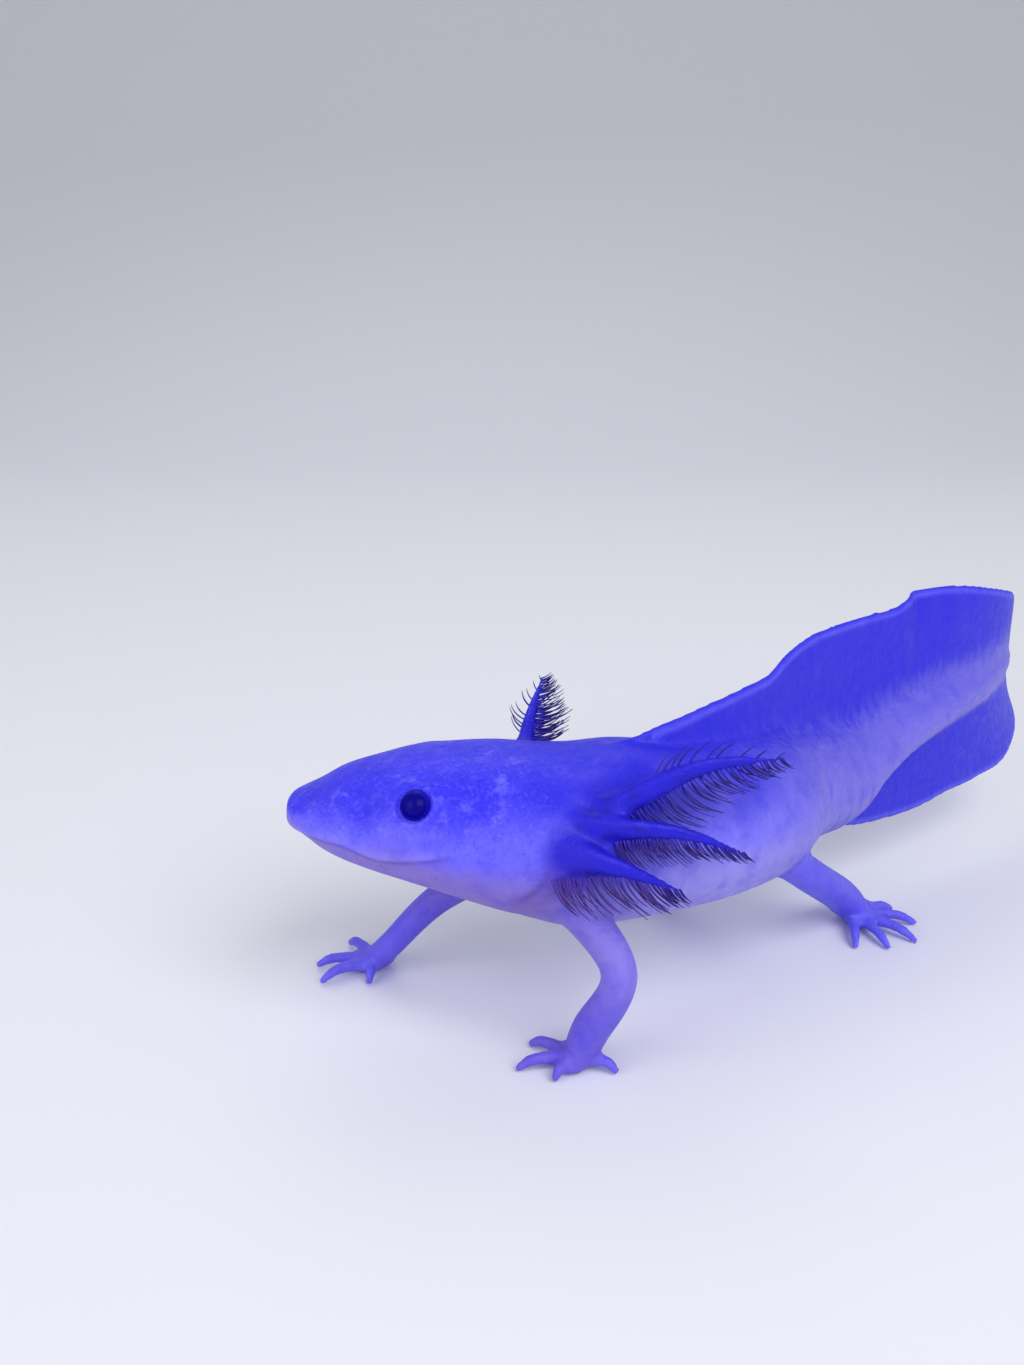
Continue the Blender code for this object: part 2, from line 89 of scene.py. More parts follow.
# Stations are (distance along the spine, value); the values between them follow a smooth curve.
HEADING = (  # degrees from +X towards +Y
    (0, -30), (34, -28), (48, -10), (62, 11), (74, 17), (88, 15), (104, 10),
    (118, 8), (128, 10), (138, 18), (150, 31), (162, 44), (180, 52), (218, 56),
)
AXIS_Z = (
    (0, 32.0), (8, 31.0), (19, 30.9), (36, 28.8), (45, 27.6), (54, 26.8), (72, 25.4), (86, 23.8), (98, 23.4),
    (104, 25.6), (112, 28.2), (124, 30.3), (136, 31.6), (150, 32.0), (180, 29.5), (218, 26.0),
)
HALF_WIDTH = (
    (0, 0.0), (0.5, 3.0), (1.5, 5.0), (4, 7.4), (8, 10.0), (14, 12.2), (19, 13.5), (28, 15.1), (36, 15.4),
    (43, 14.6), (52, 13.4), (62, 13.4), (71, 12.8), (77, 10.8), (83, 9.0), (92, 7.8), (98, 7.0), (110, 5.8),
    (124, 4.6), (139, 3.4), (152, 2.4), (180, 1.5), (218, 0.7),
)
FLESH_UP = (
    (0, 0.0), (0.5, 0.9), (1.5, 1.5), (4, 3.0), (8, 5.7), (14, 7.6), (19, 8.8), (28, 10.3), (36, 11.2),
    (45, 12.2), (54, 12.6), (72, 12.2), (86, 10.8), (98, 8.6), (104, 7.2), (112, 5.0), (124, 3.7), (136, 2.8),
    (150, 2.1), (180, 1.5), (218, 0.8),
)
FLESH_DOWN = (
    (0, 0.0), (0.5, 1.9), (1.5, 3.1), (4, 4.5), (8, 5.9), (14, 8.0), (19, 9.4), (28, 11.2), (34, 12.2),
    (39, 13.2), (46, 12.2), (54, 11.6), (70, 10.9), (75, 9.8), (80, 8.4), (86, 8.0), (92, 8.2), (98, 7.8),
    (104, 5.6), (112, 4.6), (124, 3.7), (136, 2.8), (150, 2.1), (180, 1.5), (218, 0.8),
)
CREST_Z = (  # height of the dorsal fin's upper edge
    (42, 40.5), (47, 41.6), (54, 42.6), (60, 43.8), (66, 44.5), (72, 45.1), (76, 45.6), (80, 47.7), (84, 49.0),
    (88, 49.8), (94, 50.1), (102, 50.4), (109, 50.5), (112, 51.4), (115, 52.2), (126, 52.0), (142, 48.8),
    (154, 45.4), (172, 40.2), (190, 36.4), (208, 31.4), (218, 27.6),
)
KEEL_Z = (  # height of the ventral fin's lower edge
    (99, 14.2), (102, 12.9), (106, 12.2), (110, 11.8), (118, 11.4), (124, 11.7), (128, 12.3), (140, 12.8),
    (150, 13.4), (158, 15.4), (172, 18.2), (190, 20.4), (208, 22.8), (218, 24.8),
)
# How far each fin's free edge stands to the animal's left.
CREST_SWAY = ((42, 0), (112, 0.4), (116, -0.8), (126, 0.4), (145, 1.0), (165, -0.5), (218, 0))
KEEL_SWAY = ((99, 0), (138, 0.4), (152, 2.8), (164, 3.6), (188, 1.5), (218, 0))
# Height of the line between the lips.
MOUTH_Z = ((0, 29.2), (3, 29.5), (7, 29.8), (9.5, 29.7), (12, 28.9), (14.5, 28.3), (19, 28.8), (24, 30.0))

# A limb's joints, from its root to the palm, as (along the spine from its root station towards the tail,
# outward from the spine, height), its radii, the palm's half width and length, and its toes' reaches on the
# floor.
LIMBS = {
    "front_left": dict(
        station=41.0, side=-1,
        joints=((-2.6, 8.6, 22.0), (2.2, 18.6, 16.0), (-0.9, 16.2, 6.0), (-2.6, 15.2, 1.8)),
        radii=(3.3, 2.4, 2.75), palm_size=(3.8, 3.0),
        toes=((-5.8, -5.2), (-8.4, 0.6), (-3.7, 3.9), (5.2, 3.1)),
    ),
    "front_right": dict(
        station=38.0, side=1,
        joints=((-3.0, 8.6, 21.0), (-16.3, 10.0, 13.2), (-24.2, 10.3, 5.2), (-26.7, 12.4, 1.65)),
        radii=(2.9, 2.3, 2.1), palm_size=(3.6, 3.2),
        toes=((-4.8, 7.2), (-9.5, 0.2), (-8.5, -5.0), (-1.0, -5.8)),
    ),
    "hind_left": dict(
        station=80.0, side=-1,
        joints=((-9.0, 7.6, 19.6), (0.2, 7.8, 13.0), (10.3, 6.8, 6.2), (14.6, 7.2, 2.1)),
        radii=(3.0, 2.75, 3.0), palm_size=(4.6, 3.4),
        toes=((-8.7, 5.9), (-5.2, 9.9), (0.2, 11.9), (5.8, 8.8), (7.4, 3.4)),
    ),
    "hind_right": dict(
        station=80.0, side=1,
        joints=((-2.4, 5.4, 17.0), (-1.0, 17.6, 13.6), (-2.4, 20.6, 5.4), (-4.6, 22.2, 1.8)),
        radii=(3.6, 2.9, 2.5), palm_size=(3.9, 3.6),
        toes=((3.6, 7.4), (-1.0, 9.8), (-5.8, 9.0), (-9.2, 5.2), (-8.6, -1.4)),
    ),
}
TOE_RADII = (1.3, 0.95, 0.82, 0.72, 0.5)

# A gill stalk: line is three points as (along, outward, height) from the spine at GILL_STATION, and comb the
# length of its filaments. They spread one way from it, the first grows at hem, in the same terms, and sweep is
# how much further back the last ones lie. top is how many more lie back along its upper edge, and blush is
# how red they all are.
GILL_STATION = 42.0
GILLS = {
    "left_upper": dict(
        side=-1, line=((0.6, 10.8, 35.2), (12.5, 12.0, 41.1), (23.8, 12.4, 41.8)), radius=2.05, comb=6.6,
        spread=(0.5, 0.1, -1.0), hem=(1.6, 12.9, 34.3), sweep=0.1, top=10, blush=0.1,
    ),
    "left_middle": dict(
        side=-1, line=((-2.4, 12.4, 34.0), (9.0, 15.0, 33.4), (18.6, 15.0, 29.6)), radius=1.7, comb=4.4,
        spread=(0.0, 0.1, -1.0), hem=(0.6, 14.2, 32.2), sweep=0.6, top=0, blush=0.25,
    ),
    "left_lower": dict(
        side=-1, line=((-4.8, 14.0, 31.0), (1.6, 16.6, 29.4), (9.4, 16.5, 25.7)), radius=2.0, comb=6.4,
        spread=(0.1, 0.15, -1.0), hem=(-7.9, 15.3, 27.9), sweep=0.35, top=0, blush=0.6,
    ),
    "right_upper": dict(
        side=1, line=((-7.4, 9.8, 36.0), (-4.8, 17.6, 39.6), (-1.6, 26.0, 42.5)), radius=1.9, comb=6.2,
        spread=(1.0, -0.1, -0.1), hem=(-5.8, 11.4, 36.5), sweep=0.4, top=9, blush=0.1,
    ),
    "right_middle": dict(
        side=1, line=((-3.0, 12.4, 34.0), (0.4, 18.6, 33.4), (5.6, 24.6, 30.2)), radius=1.5, comb=4.2,
        spread=(0.4, 0.0, -0.9), hem=(-2.0, 14.2, 33.4), sweep=0.3, top=0, blush=0.25,
    ),
    "right_lower": dict(
        side=1, line=((-4.8, 14.0, 31.0), (0.6, 20.0, 28.4), (6.4, 25.0, 24.6)), radius=1.5, comb=4.8,
        spread=(0.0, 0.0, -1.0), hem=(-5.0, 15.4, 29.6), sweep=0.3, top=0, blush=0.8,
    ),
}


# ---- curves and places


def along(stations, s):
    """Values at s, a number or an array, on the smooth curve through the stations."""
    x, v = np.array(stations, float).T
    k = np.arange(len(x))
    before, after = np.maximum(k - 1, 0), np.minimum(k + 1, len(x) - 1)
    slope = (v[after] - v[before]) / (x[after] - x[before])
    s = np.clip(s, x[0], x[-1])
    i = np.clip(np.searchsorted(x, s, side="right") - 1, 0, len(x) - 2)
    h = x[i + 1] - x[i]
    t = (s - x[i]) / h
    return (
        (2 * t**3 - 3 * t**2 + 1) * v[i]
        + (t**3 - 2 * t**2 + t) * h * slope[i]
        + (3 * t**2 - 2 * t**3) * v[i + 1]
        + (t**3 - t**2) * h * slope[i + 1]
    )


def smooth_step(x):
    x = np.clip(x, 0.0, 1.0)
    return x * x * (3 - 2 * x)


def rise(x, start, length):
    """0 up to start, and 1 from a length beyond it."""
    return smooth_step((x - start) / length)


def fade(x, start, length):
    return 1 - rise(x, start, length)


def bell(x, width):
    return np.exp(-((x / width) ** 2))


def distance(points, centre):
    return np.linalg.norm(points - centre, axis=1)


SPINE_STEP = 0.5
SPINE_AT = np.arange(0.0, BODY_LENGTH + SPINE_STEP / 2, SPINE_STEP)


def walk_spine():
    """Plan positions of the spine at each of SPINE_AT, from the headings."""
    turn = np.radians(along(HEADING, SPINE_AT[:-1] + SPINE_STEP / 2))
    steps = SPINE_STEP * np.stack([np.cos(turn), np.sin(turn)], 1)
    return np.vstack([[0.0, 0.0], np.cumsum(steps, 0)])


SPINE = walk_spine()


def spine_at(s):
    """(point on the floor under the spine, direction towards the tail, direction to its right), in plan."""
    ground = np.stack([np.interp(s, SPINE_AT, SPINE[:, i]) for i in (0, 1)], -1)
    turn = np.radians(along(HEADING, s))
    back = np.stack([np.cos(turn), np.sin(turn)], -1)
    right = np.stack([-np.sin(turn), np.cos(turn)], -1)
    return ground, back, right


def place(station, side, where):
    """A point given as (along, outward, height) from the spine at a station."""
    ground, back, right = spine_at(station)
    return np.append(ground + where[0] * back + side * where[1] * right, where[2])


def body_coordinates(points):
    """(station along the spine, distance to the animal's right) of each point."""
    nearest = np.empty(len(points), int)
    block = 4000
    for start in range(0, len(points), block):
        part = points[start : start + block]
        gap = (part[:, 0, None] - SPINE[:, 0]) ** 2 + (part[:, 1, None] - SPINE[:, 1]) ** 2
        nearest[start : start + block] = gap.argmin(1)
    s = SPINE_AT[nearest]
    ground, back, right = spine_at(s)
    away = points[:, :2] - ground
    return s + (away * back).sum(1), (away * right).sum(1)


EYES = {side: place(EYE_STATION, side, (0.0, EYE_OUT, EYE_Z)) for side in (-1, 1)}


def frame_origin():
    """Where the snout's point on the floor lies in the row frame, in metres, from the left eye's node."""
    low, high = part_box("eye_left")
    return np.array((low + high) / 2) - EYES[-1] * MM


ORIGIN = frame_origin()


def to_row(points):
    return np.asarray(points) * MM + ORIGIN


# ---- lofts


def looped(rings):
    """(points, faces) of a closed tube through rings of points, an array of rings x points x 3."""
    count, around = rings.shape[:2]
    a = (np.arange(count - 1) * around)[:, None] + np.arange(around)
    b = (np.arange(count - 1) * around)[:, None] + (np.arange(around) + 1) % around
    quads = np.stack([a, b, b + around, a + around], -1).reshape(-1, 4).tolist()
    caps = [list(range(around))[::-1], list(range((count - 1) * around, count * around))]
    return rings.reshape(-1, 3), quads + caps


def joined(parts):
    points, faces, used = [], [], 0
    for more_points, more_faces in parts:
        points.append(more_points)
        faces += [[i + used for i in face] for face in more_faces]
        used += len(more_points)
    return np.vstack(points), faces


def body_form(s):
    """At s: the axis's height, the half width, and the flesh and the fins' edges above and below the axis."""
    axis, width = along(AXIS_Z, s), along(HALF_WIDTH, s)
    up, down = along(FLESH_UP, s), along(FLESH_DOWN, s)
    up = up + NAPE["height"] * bell(s - NAPE["station"], NAPE["length"])
    grown = rise(s, CREST_START, CREST_RISE)
    crest = up + np.maximum(along(CREST_Z, s) - axis - up, 0) * grown
    keel = np.where(s > VENT, np.maximum(axis - along(KEEL_Z, s), down), down)
    return axis, width, up, down, crest, keel


def half_outline(height, width, flesh, blade_top, sharpness, easing):
    """Half width of a section at a height from the axis: flesh that passes softly into a thin fin.

    A greater sharpness shows the join between them more, and easing draws the flesh in towards the fin.
    """
    share = rise(blade_top, flesh, BLADE_BLEND)
    meat = width * np.sqrt(np.clip(1 - (height / np.maximum(flesh, 1e-6)) ** 2, 0, 1))
    eased = width * np.clip(1 - (height / np.maximum(1.4 * flesh, 1e-6)) ** 2, 0, 1) ** 1.25
    meat = meat + (eased - meat) * easing
    span = np.maximum(blade_top - 0.94 * flesh, 0.1)
    blade = (FIN_EDGE + (FIN_ROOT - FIN_EDGE) * np.clip((blade_top - height) / span, 0, 1)) / 2
    rounding = np.sqrt(np.clip((blade_top - height) / (FIN_EDGE / 2), 0.04, 1))
    blade = np.minimum(blade, 0.6 * width) * rounding * share
    return (meat**sharpness + blade**sharpness) ** (1 / sharpness)


BLADE_ROWS = 18  # points up a fin, and round one side of the flesh
FLESH_ROWS = 34
JOIN_ANGLE = 0.2  # radians round from the flesh's top or foot, where a fin's points end
FLESH_ANGLE = 0.24  # and where the flesh's own points start
SHARP_ABOVE, SHARP_BELOW = 2.5, 4.0
SLIMMING = 0.55  # how much slimmer the tail's flesh is than its width says, at most
SLIMMEST = 1.0  # half width at which the slimming stops
FOLD_AT = 115.6  # the dorsal fin is creased here, where the tail starts to turn away
FOLD_DEPTH = 0.3


def body_rings(s):
    """The body's sections at s, fins included, as rings from the top down its right side and up its left."""
    s = s[:, None]
    axis, width, up, down, crest, keel = body_form(s)
    slim = SLIMMING * rise(s, 116, 34) * fade(s, 168, 30)
    width = np.maximum(width * (1 - slim), np.minimum(width, SLIMMEST))
    out = (1 - (np.arange(BLADE_ROWS) / BLADE_ROWS) ** 1.5)[None]
    turn = np.linspace(FLESH_ANGLE, math.pi - FLESH_ANGLE, FLESH_ROWS)[None]
    join_up, join_down = up * math.cos(JOIN_ANGLE), down * math.cos(JOIN_ANGLE)
    height = np.hstack([
        join_up + (crest - join_up) * out,
        np.where(turn < math.pi / 2, up, down) * np.cos(turn),
        -(join_down + (keel - join_down) * out[:, ::-1]),
    ])
    tapered = 0.35 * rise(s, CREST_START, 26) + 0.65 * rise(s, 84, 24)
    above = half_outline(height, width, up, crest, SHARP_ABOVE, tapered)
    below = half_outline(-height, width, down, keel, SHARP_BELOW, 0.8 * rise(s, 108, 30))
    half = np.where(height > 0, above, below)
    lean = fin_lean(s, height, up, down, crest, keel)
    ground, _, right = spine_at(s[:, 0])
    sides = []
    for sign, order in ((1, slice(None)), (-1, slice(None, None, -1))):
        across = (sign * half - lean)[:, order, None] * right[:, None]
        plan = ground[:, None] + across
        sides.append(np.concatenate([plan, (axis + height)[:, order, None]], -1))
    return np.concatenate(sides, 1)


def fin_lean(s, height, up, down, crest, keel):
    """How far the fins' blades stand to the animal's left of the middle."""
    over = np.clip(height - up, 0, None) / np.maximum(crest - up, 0.1)
    under = np.clip(-height - down, 0, None) / np.maximum(keel - down, 0.1)
    share_up = rise(crest, up, BLADE_BLEND)
    share_down = rise(keel, down, BLADE_BLEND)
    ripple = 0.25 * np.sin(s / 5.2) * rise(s, 120, 30)
    fold = -FOLD_DEPTH * bell(s - FOLD_AT, 1.3)
    top = (along(CREST_SWAY, s) + ripple + fold) * share_up * over**1.5
    bottom = (along(KEEL_SWAY, s) + ripple) * share_down * under**1.5
    return top + bottom


SECTION_GAP = 0.55
NOSE_START, NOSE_GROWTH, NOSE_SECTIONS = 0.02, 1.28, 18  # the first sections lie closer together


def body_loft():
    """The body and its fins as one closed loft."""
    nose = NOSE_START * NOSE_GROWTH ** np.arange(NOSE_SECTIONS)
    rest = np.arange(nose[-1] + 0.5, BODY_LENGTH, SECTION_GAP)
    return looped(body_rings(np.concatenate([nose, rest, [BODY_LENGTH]])))


def smooth_path(points, count):
    """count points on a Catmull-Rom curve through the given points."""
    points = np.asarray(points, float)
    ends = np.vstack([2 * points[0] - points[1], points, 2 * points[-1] - points[-2]])
    t = np.linspace(0, len(points) - 1, count)
    i = np.minimum(t.astype(int), len(points) - 2)
    t = (t - i)[:, None]
    a, b, c, d = (ends[i + k] for k in range(4))
    return 0.5 * (2 * b + (c - a) * t + (2 * a - 5 * b + 4 * c - d) * t**2 + (3 * b - a - 3 * c + d) * t**3)


def spread(values, count):
    """count values read evenly along a short list."""
    table = tuple(enumerate(values))
    return along(table, np.linspace(0, len(values) - 1, count))


def unit(v):
    return v / np.linalg.norm(v)


def tube(path, radii, sides, flats=None):
    """Rings round a path, carried along it without twisting; flats are each ring's height over its width."""
    path = np.asarray(path)
    flats = np.ones(len(path)) if flats is None else flats
    across = unit(np.cross(path[1] - path[0], (0, 0, 1)))
    turn = np.linspace(0, 2 * math.pi, sides, endpoint=False)[:, None]
    rings = []
    for k, centre in enumerate(path):
        forward = unit(path[min(k + 1, len(path) - 1)] - path[max(k - 1, 0)])
        across = unit(across - forward * (across @ forward))
        offset = radii[k] * (across * np.cos(turn) + np.cross(across, forward) * np.sin(turn))
        top = np.array([0, 0, 1]) - forward * forward[2]
        offset -= (1 - flats[k]) * (offset @ top)[:, None] * top / (top @ top + 1e-9)
        rings.append(centre + offset)
    return np.array(rings)


# ---- limbs and gill stalks


PALM_Z = 1.4  # height of the middle of a palm's front, of a toe's start and of its tip
TOE_START_Z = 1.25
TOE_TIP_Z = 0.42
TOE_ARCH = ((0.38, 0.75), (0.72, 0.95))  # (place along a toe, how far it is raised there)
LIMB_POINTS, LIMB_SIDES = 65, 32
TOE_POINTS, TOE_SIDES = 25, 14
LIMB_FLATS = (1.0, 1.0, 0.94, 0.62, 0.5)  # a limb's height over its width, from its root to the palm's front
PALM_TAPER = (0.82, 0.7)  # the palm's radius at its middle and its front, over its half width


def limb_line(limb):
    """(path, radii, flats) of a limb from its root in the body to the front of its palm."""
    station, side = limb["station"], limb["side"]
    joints = [place(station, side, where) for where in limb["joints"]]
    wide, deep = limb["palm_size"]
    reach = sum(toe_reaches(limb))
    front = joints[-1] + unit(reach) * deep
    front[2] = PALM_Z
    path = smooth_path([*joints, front], LIMB_POINTS)
    thick, mid, thin = limb["radii"]
    radii = spread((thick, mid, thin, wide * PALM_TAPER[0], wide * PALM_TAPER[1]), len(path))
    return path, radii, spread(LIMB_FLATS, len(path))


def toe_reaches(limb):
    """How far each toe's tip lies from the palm's middle, in plan."""
    _, back, right = spine_at(limb["station"])
    side = limb["side"]
    return [np.append(back * ahead + right * side * out, 0.0) for ahead, out in limb["toes"]]


def toe_lines(limb):
    """(path, radii) of each toe, from inside the palm to its tip, with low knuckles."""
    palm = place(limb["station"], limb["side"], limb["joints"][-1])
    for reach in toe_reaches(limb):
        start = palm + unit(reach) * (limb["palm_size"][1] * 0.35)
        tip = palm + reach * 0.985
        start[2], tip[2] = TOE_START_Z, TOE_TIP_Z
        arch = [start + (tip - start) * f + (0, 0, lift) for f, lift in TOE_ARCH]
        f = np.linspace(0, 1, TOE_POINTS)
        knuckles = 1 + 0.1 * bell(f - 0.36, 0.07) + 0.1 * bell(f - 0.68, 0.06)
        yield smooth_path([start, *arch, tip], TOE_POINTS), spread(TOE_RADII, TOE_POINTS) * knuckles


def limb_lofts(limb):
    path, radii, flats = limb_line(limb)
    yield looped(tube(path, radii, LIMB_SIDES, flats))
    for toe_path, toe_radii in toe_lines(limb):
        yield looped(tube(toe_path, toe_radii, TOE_SIDES))


GILL_ROOT = (-4.0, -2.8)  # a stalk's line starts this far behind where it shows, along it and outward
BLADE = 0.68  # a stalk's width over its height
GILL_POINTS, GILL_SIDES = 72, 20
GILL_TAPER = (0.8, 1.05, 0.6)  # its radius at its root, base and middle, over the one that it is given
GILL_TIP_RADIUS = 0.24


def gill_line(gill, count=GILL_POINTS):
    """(path, radii) of a gill stalk from its root in the head; each radius is half its height."""
    base, middle, tip = (np.array(where) for where in gill["line"])
    inside = base + GILL_ROOT[0] * unit(middle - base) + (0.0, GILL_ROOT[1], 0.0)
    points = [place(GILL_STATION, gill["side"], where) for where in (inside, base, middle, tip)]
    radii = [gill["radius"] * part for part in GILL_TAPER]
    return smooth_path(points, count), spread([*radii, GILL_TIP_RADIUS], count)


def gill_loft(gill):
    path, radii = gill_line(gill)
    return looped(tube(path, radii * BLADE, GILL_SIDES, np.full(len(path), 1 / BLADE)))


# ---- the skin


def mesh_from(name, points, faces):
    mesh = bpy.data.meshes.new(name)
    mesh.from_pydata(points, [], faces)
    return mesh


def shown(name, data):
    """A new object of the scene with that data."""
    made = bpy.data.objects.new(name, data)
    bpy.context.scene.collection.objects.link(made)
    return made


def remeshed(name, points, faces, voxel):
    """One closed mesh round all the lofts together, in millimetres."""
    mesh = mesh_from(name, points.tolist(), faces)
    source = shown(name, mesh)
    step = source.modifiers.new("one skin", "REMESH")
    step.mode = "VOXEL"
    step.voxel_size = voxel
    made = bpy.data.meshes.new_from_object(source.evaluated_get(bpy.context.evaluated_depsgraph_get()))
    bpy.data.objects.remove(source)
    bpy.data.meshes.remove(mesh)
    made.name = name
    return made


MOUTH_END = 24.0  # station of the mouth's corners
FINE_MOUTH = 1.8  # the skin has smaller faces this near the mouth's line, and this near an eye's middle
FINE_EYE = 4.4


def refined(mesh):
    """The mesh with smaller faces round the eyes and along the mouth, where it has its finest forms."""
    points = points_of(mesh)
    s, _ = body_coordinates(points)
    fine = (s < MOUTH_END) & (np.abs(points[:, 2] - along(MOUTH_Z, s)) < FINE_MOUTH)
    for centre in EYES.values():
        fine |= distance(points, centre) < FINE_EYE
    shape = bmesh.new()
    shape.from_mesh(mesh)
    shape.verts.ensure_lookup_table()
    chosen = [edge for edge in shape.edges if fine[edge.verts[0].index] and fine[edge.verts[1].index]]
    bmesh.ops.subdivide_edges(shape, edges=chosen, cuts=1, use_grid_fill=True)
    shape.to_mesh(mesh)
    shape.free()
    return mesh


def table_of(items, name, kind, columns):
    """One property of all of a mesh's items, with a row for each."""
    flat = np.empty(len(items) * columns, kind)
    items.foreach_get(name, flat)
    return flat.reshape(-1, columns)


def points_of(mesh):
    return table_of(mesh.vertices, "co", np.float32, 3).astype(float)


def set_points(mesh, points):
    mesh.vertices.foreach_set("co", points.astype(np.float32).ravel())
    mesh.update()


def smoothed(points, edges, weight, rounds, restore=0.0):
    """Each point eased towards its neighbours' mean by its weight; restore gives back the lost volume."""
    a, b = edges.T
    count = np.bincount(edges.ravel(), minlength=len(points))[:, None]
    for _ in range(rounds):
        for w in filter(None, (1.0, -restore)):
            total = np.stack([
                np.bincount(a, points[b, i], len(points)) + np.bincount(b, points[a, i], len(points))
                for i in range(3)
            ], 1)
            points = points + w * weight[:, None] * (total / count - points)
    return points


FAR = 1e9


def nearness(points, path, radii):
    """Each point's distance from a path, over the path's radius there."""
    ratio = np.full(len(points), FAR)
    for centre, radius in zip(path[::2], radii[::2]):
        ratio = np.minimum(ratio, distance(points, centre) / radius)
    return ratio


def leaves_body(path):
    """The first point of a path that lies outside the body."""
    s, u = body_coordinates(path)
    axis, width, up, down, _, _ = body_form(s)
    high = path[:, 2] - axis
    inside = (u / width) ** 2 + (high / np.where(high > 0, up, down)) ** 2
    return path[np.argmax(inside > 1.0)]


FRONT_LIMBS = 60.0  # the front limbs' roots lie before this station, and the hind ones' behind it
FRONT_REACH = 1.5  # how far the skin is eased round a root, over the root's radius; a stalk's is the same
HIND_REACH = 1.15
ROOT_EASING = 0.8


def root_weights(points):
    """How strongly the skin is eased where limbs and gill stalks grow from the body."""
    weight = np.zeros(len(points))
    for limb in LIMBS.values():
        path, radii, _ = limb_line(limb)
        reach = FRONT_REACH if limb["station"] < FRONT_LIMBS else HIND_REACH
        weight = np.maximum(weight, bell(distance(points, leaves_body(path)), radii[0] * reach))
    for gill in GILLS.values():
        path, radii = gill_line(gill)
        near = bell(distance(points, leaves_body(path)), radii[0] * FRONT_REACH)
        weight = np.maximum(weight, 0.8 * near)
    return ROOT_EASING * weight


def limb_masks(points):
    """(how much each point belongs to a limb, its distance from the nearest toe over the toe's radius)."""
    limb = np.full(len(points), FAR)
    toe = np.full(len(points), FAR)
    for one in LIMBS.values():
        path, radii, _ = limb_line(one)
        limb = np.minimum(limb, nearness(points, path, radii))
        for toe_path, toe_radii in toe_lines(one):
            toe = np.minimum(toe, nearness(points, toe_path, toe_radii))
    return fade(np.minimum(limb, toe), 1.05, 0.9), toe


BARE_ROOT = 25  # points of a stalk's line, from its start, that lie in the head or just outside it
# painted shade round each stalk's root: the stalk's deep colour spreads into the head round it
ROOT_SHADE_REACH = 7.5  # the stalk's colour spreads this far into the head, with this share of its strength
ROOT_SHADE_SHARE = 0.42


def gill_mask(points):
    """How much each point belongs to a gill stalk, and, as painted shade, in part to the skin round its root.
    """
    gill, root = np.zeros(len(points)), np.zeros(len(points))
    for one in GILLS.values():
        path, radii = gill_line(one)
        near = nearness(points, path[BARE_ROOT:], radii[BARE_ROOT:])
        gill = np.maximum(gill, fade(near, 0.9, 2.3))
        gap = distance(points, leaves_body(path))
        root = np.maximum(root, bell(gap, ROOT_SHADE_REACH))
    return np.maximum(gill, ROOT_SHADE_SHARE * root)


# The fins' blue begins this far up and down the flesh, and deepens over these heights; below, its quick start
# along the tail's lower crease is partly painted shade under the muscle.
FIN_BEGINS = (0.5, 0.88)
FIN_DEEPENS = (9.5, 2.2)


def fin_mask(s, high, flesh, height):
    """How much each point belongs to a fin of that height over the flesh, or to the dark strip at the vent."""
    begins, over = np.where(high > 0, *FIN_BEGINS), np.where(high > 0, *FIN_DEEPENS)
    fin = smooth_step((np.abs(high) - flesh * begins) / over) * (s > CREST_START)
    fin *= smooth_step(height / 2.0)
    near_vent = rise(s, 88, 5) * fade(s, 112, 8)
    low_edge = 0.62 - 0.2 * rise(s, 88, 12)
    return np.maximum(fin, 0.9 * near_vent * smooth_step((-high / flesh - low_edge) / 0.25))


def masks_of(points):
    """What each point of the skin belongs to, each from 0 to 1, and its place along and round the body."""
    s, u = body_coordinates(points)
    z = points[:, 2]
    axis, _, up, down, crest, keel = body_form(s)
    high = z - axis
    limb, toe = limb_masks(points)
    gill = gill_mask(points)
    flesh = np.where(high > 0, up, down)
    fin = fin_mask(s, high, flesh, np.where(high > 0, crest - up, keel - down))
    # how low round the body each point lies, along which the painted blue light from above fades
    lower = smooth_step(0.5 - high / flesh * 0.5)
    body = (1 - limb) * (1 - gill)
    # a painted highlight along each fin's folded edge
    rim = bell(crest - high - 0.9, 0.45) + bell(keel + high - 0.9, 0.45)
    return SimpleNamespace(
        s=s, u=u, z=z, high=high, flesh=flesh, body=body, belly=lower, limb=limb, toe=toe, gill=gill,
        fin=fin * body, rim=rim * (crest - up > 2) * body,
    )


def mouth_reach(m):
    """Where the mouth shows: on the head, back to its corners."""
    return fade(m.s, 21.5, 4.5) * m.body


def mouth_relief(m):
    """A groove between the lips, a fuller upper lip and a lower lip that lies a little inside it."""
    off = m.z - along(MOUTH_Z, m.s)
    deep = 0.32 + 0.6 * bell(m.s, 3.0)
    chin = 0.7 * bell(off + 1.5, 0.8) * bell(m.s, 2.2)
    lips = 0.3 * bell(off - 1.0, 0.9) - 0.25 * bell(off + 1.1, 0.9) + chin
    return mouth_reach(m) * (lips - deep * bell(off, 0.36))


def behind_fold(m):
    """How far each point lies behind the gular fold, which runs under the throat and up behind the cheek."""
    over = m.z - 26.4
    return m.s - (35.4 + 0.42 * np.clip(over, 0, 7) - 0.9 * np.clip(-over, 0, 3))


def fold_reach(m):
    """Where the gular fold shows: beside the throat, and less under it."""
    beside = 0.12 + 0.88 * rise(m.z, 21.5, 4)
    return m.body * fade(m.z, 31.5, 3) * beside


def fold_relief(m):
    """The gular fold, and the full cheek before it."""
    behind = behind_fold(m)
    return fold_reach(m) * (0.3 * bell(behind + 2.4, 2.0) - 0.5 * bell(behind, 0.65))


COSTAL_GAP = 3.9  # length from one costal groove to the next
CHEVRON_GAP = 2.9  # and from one muscle band of the tail to the next


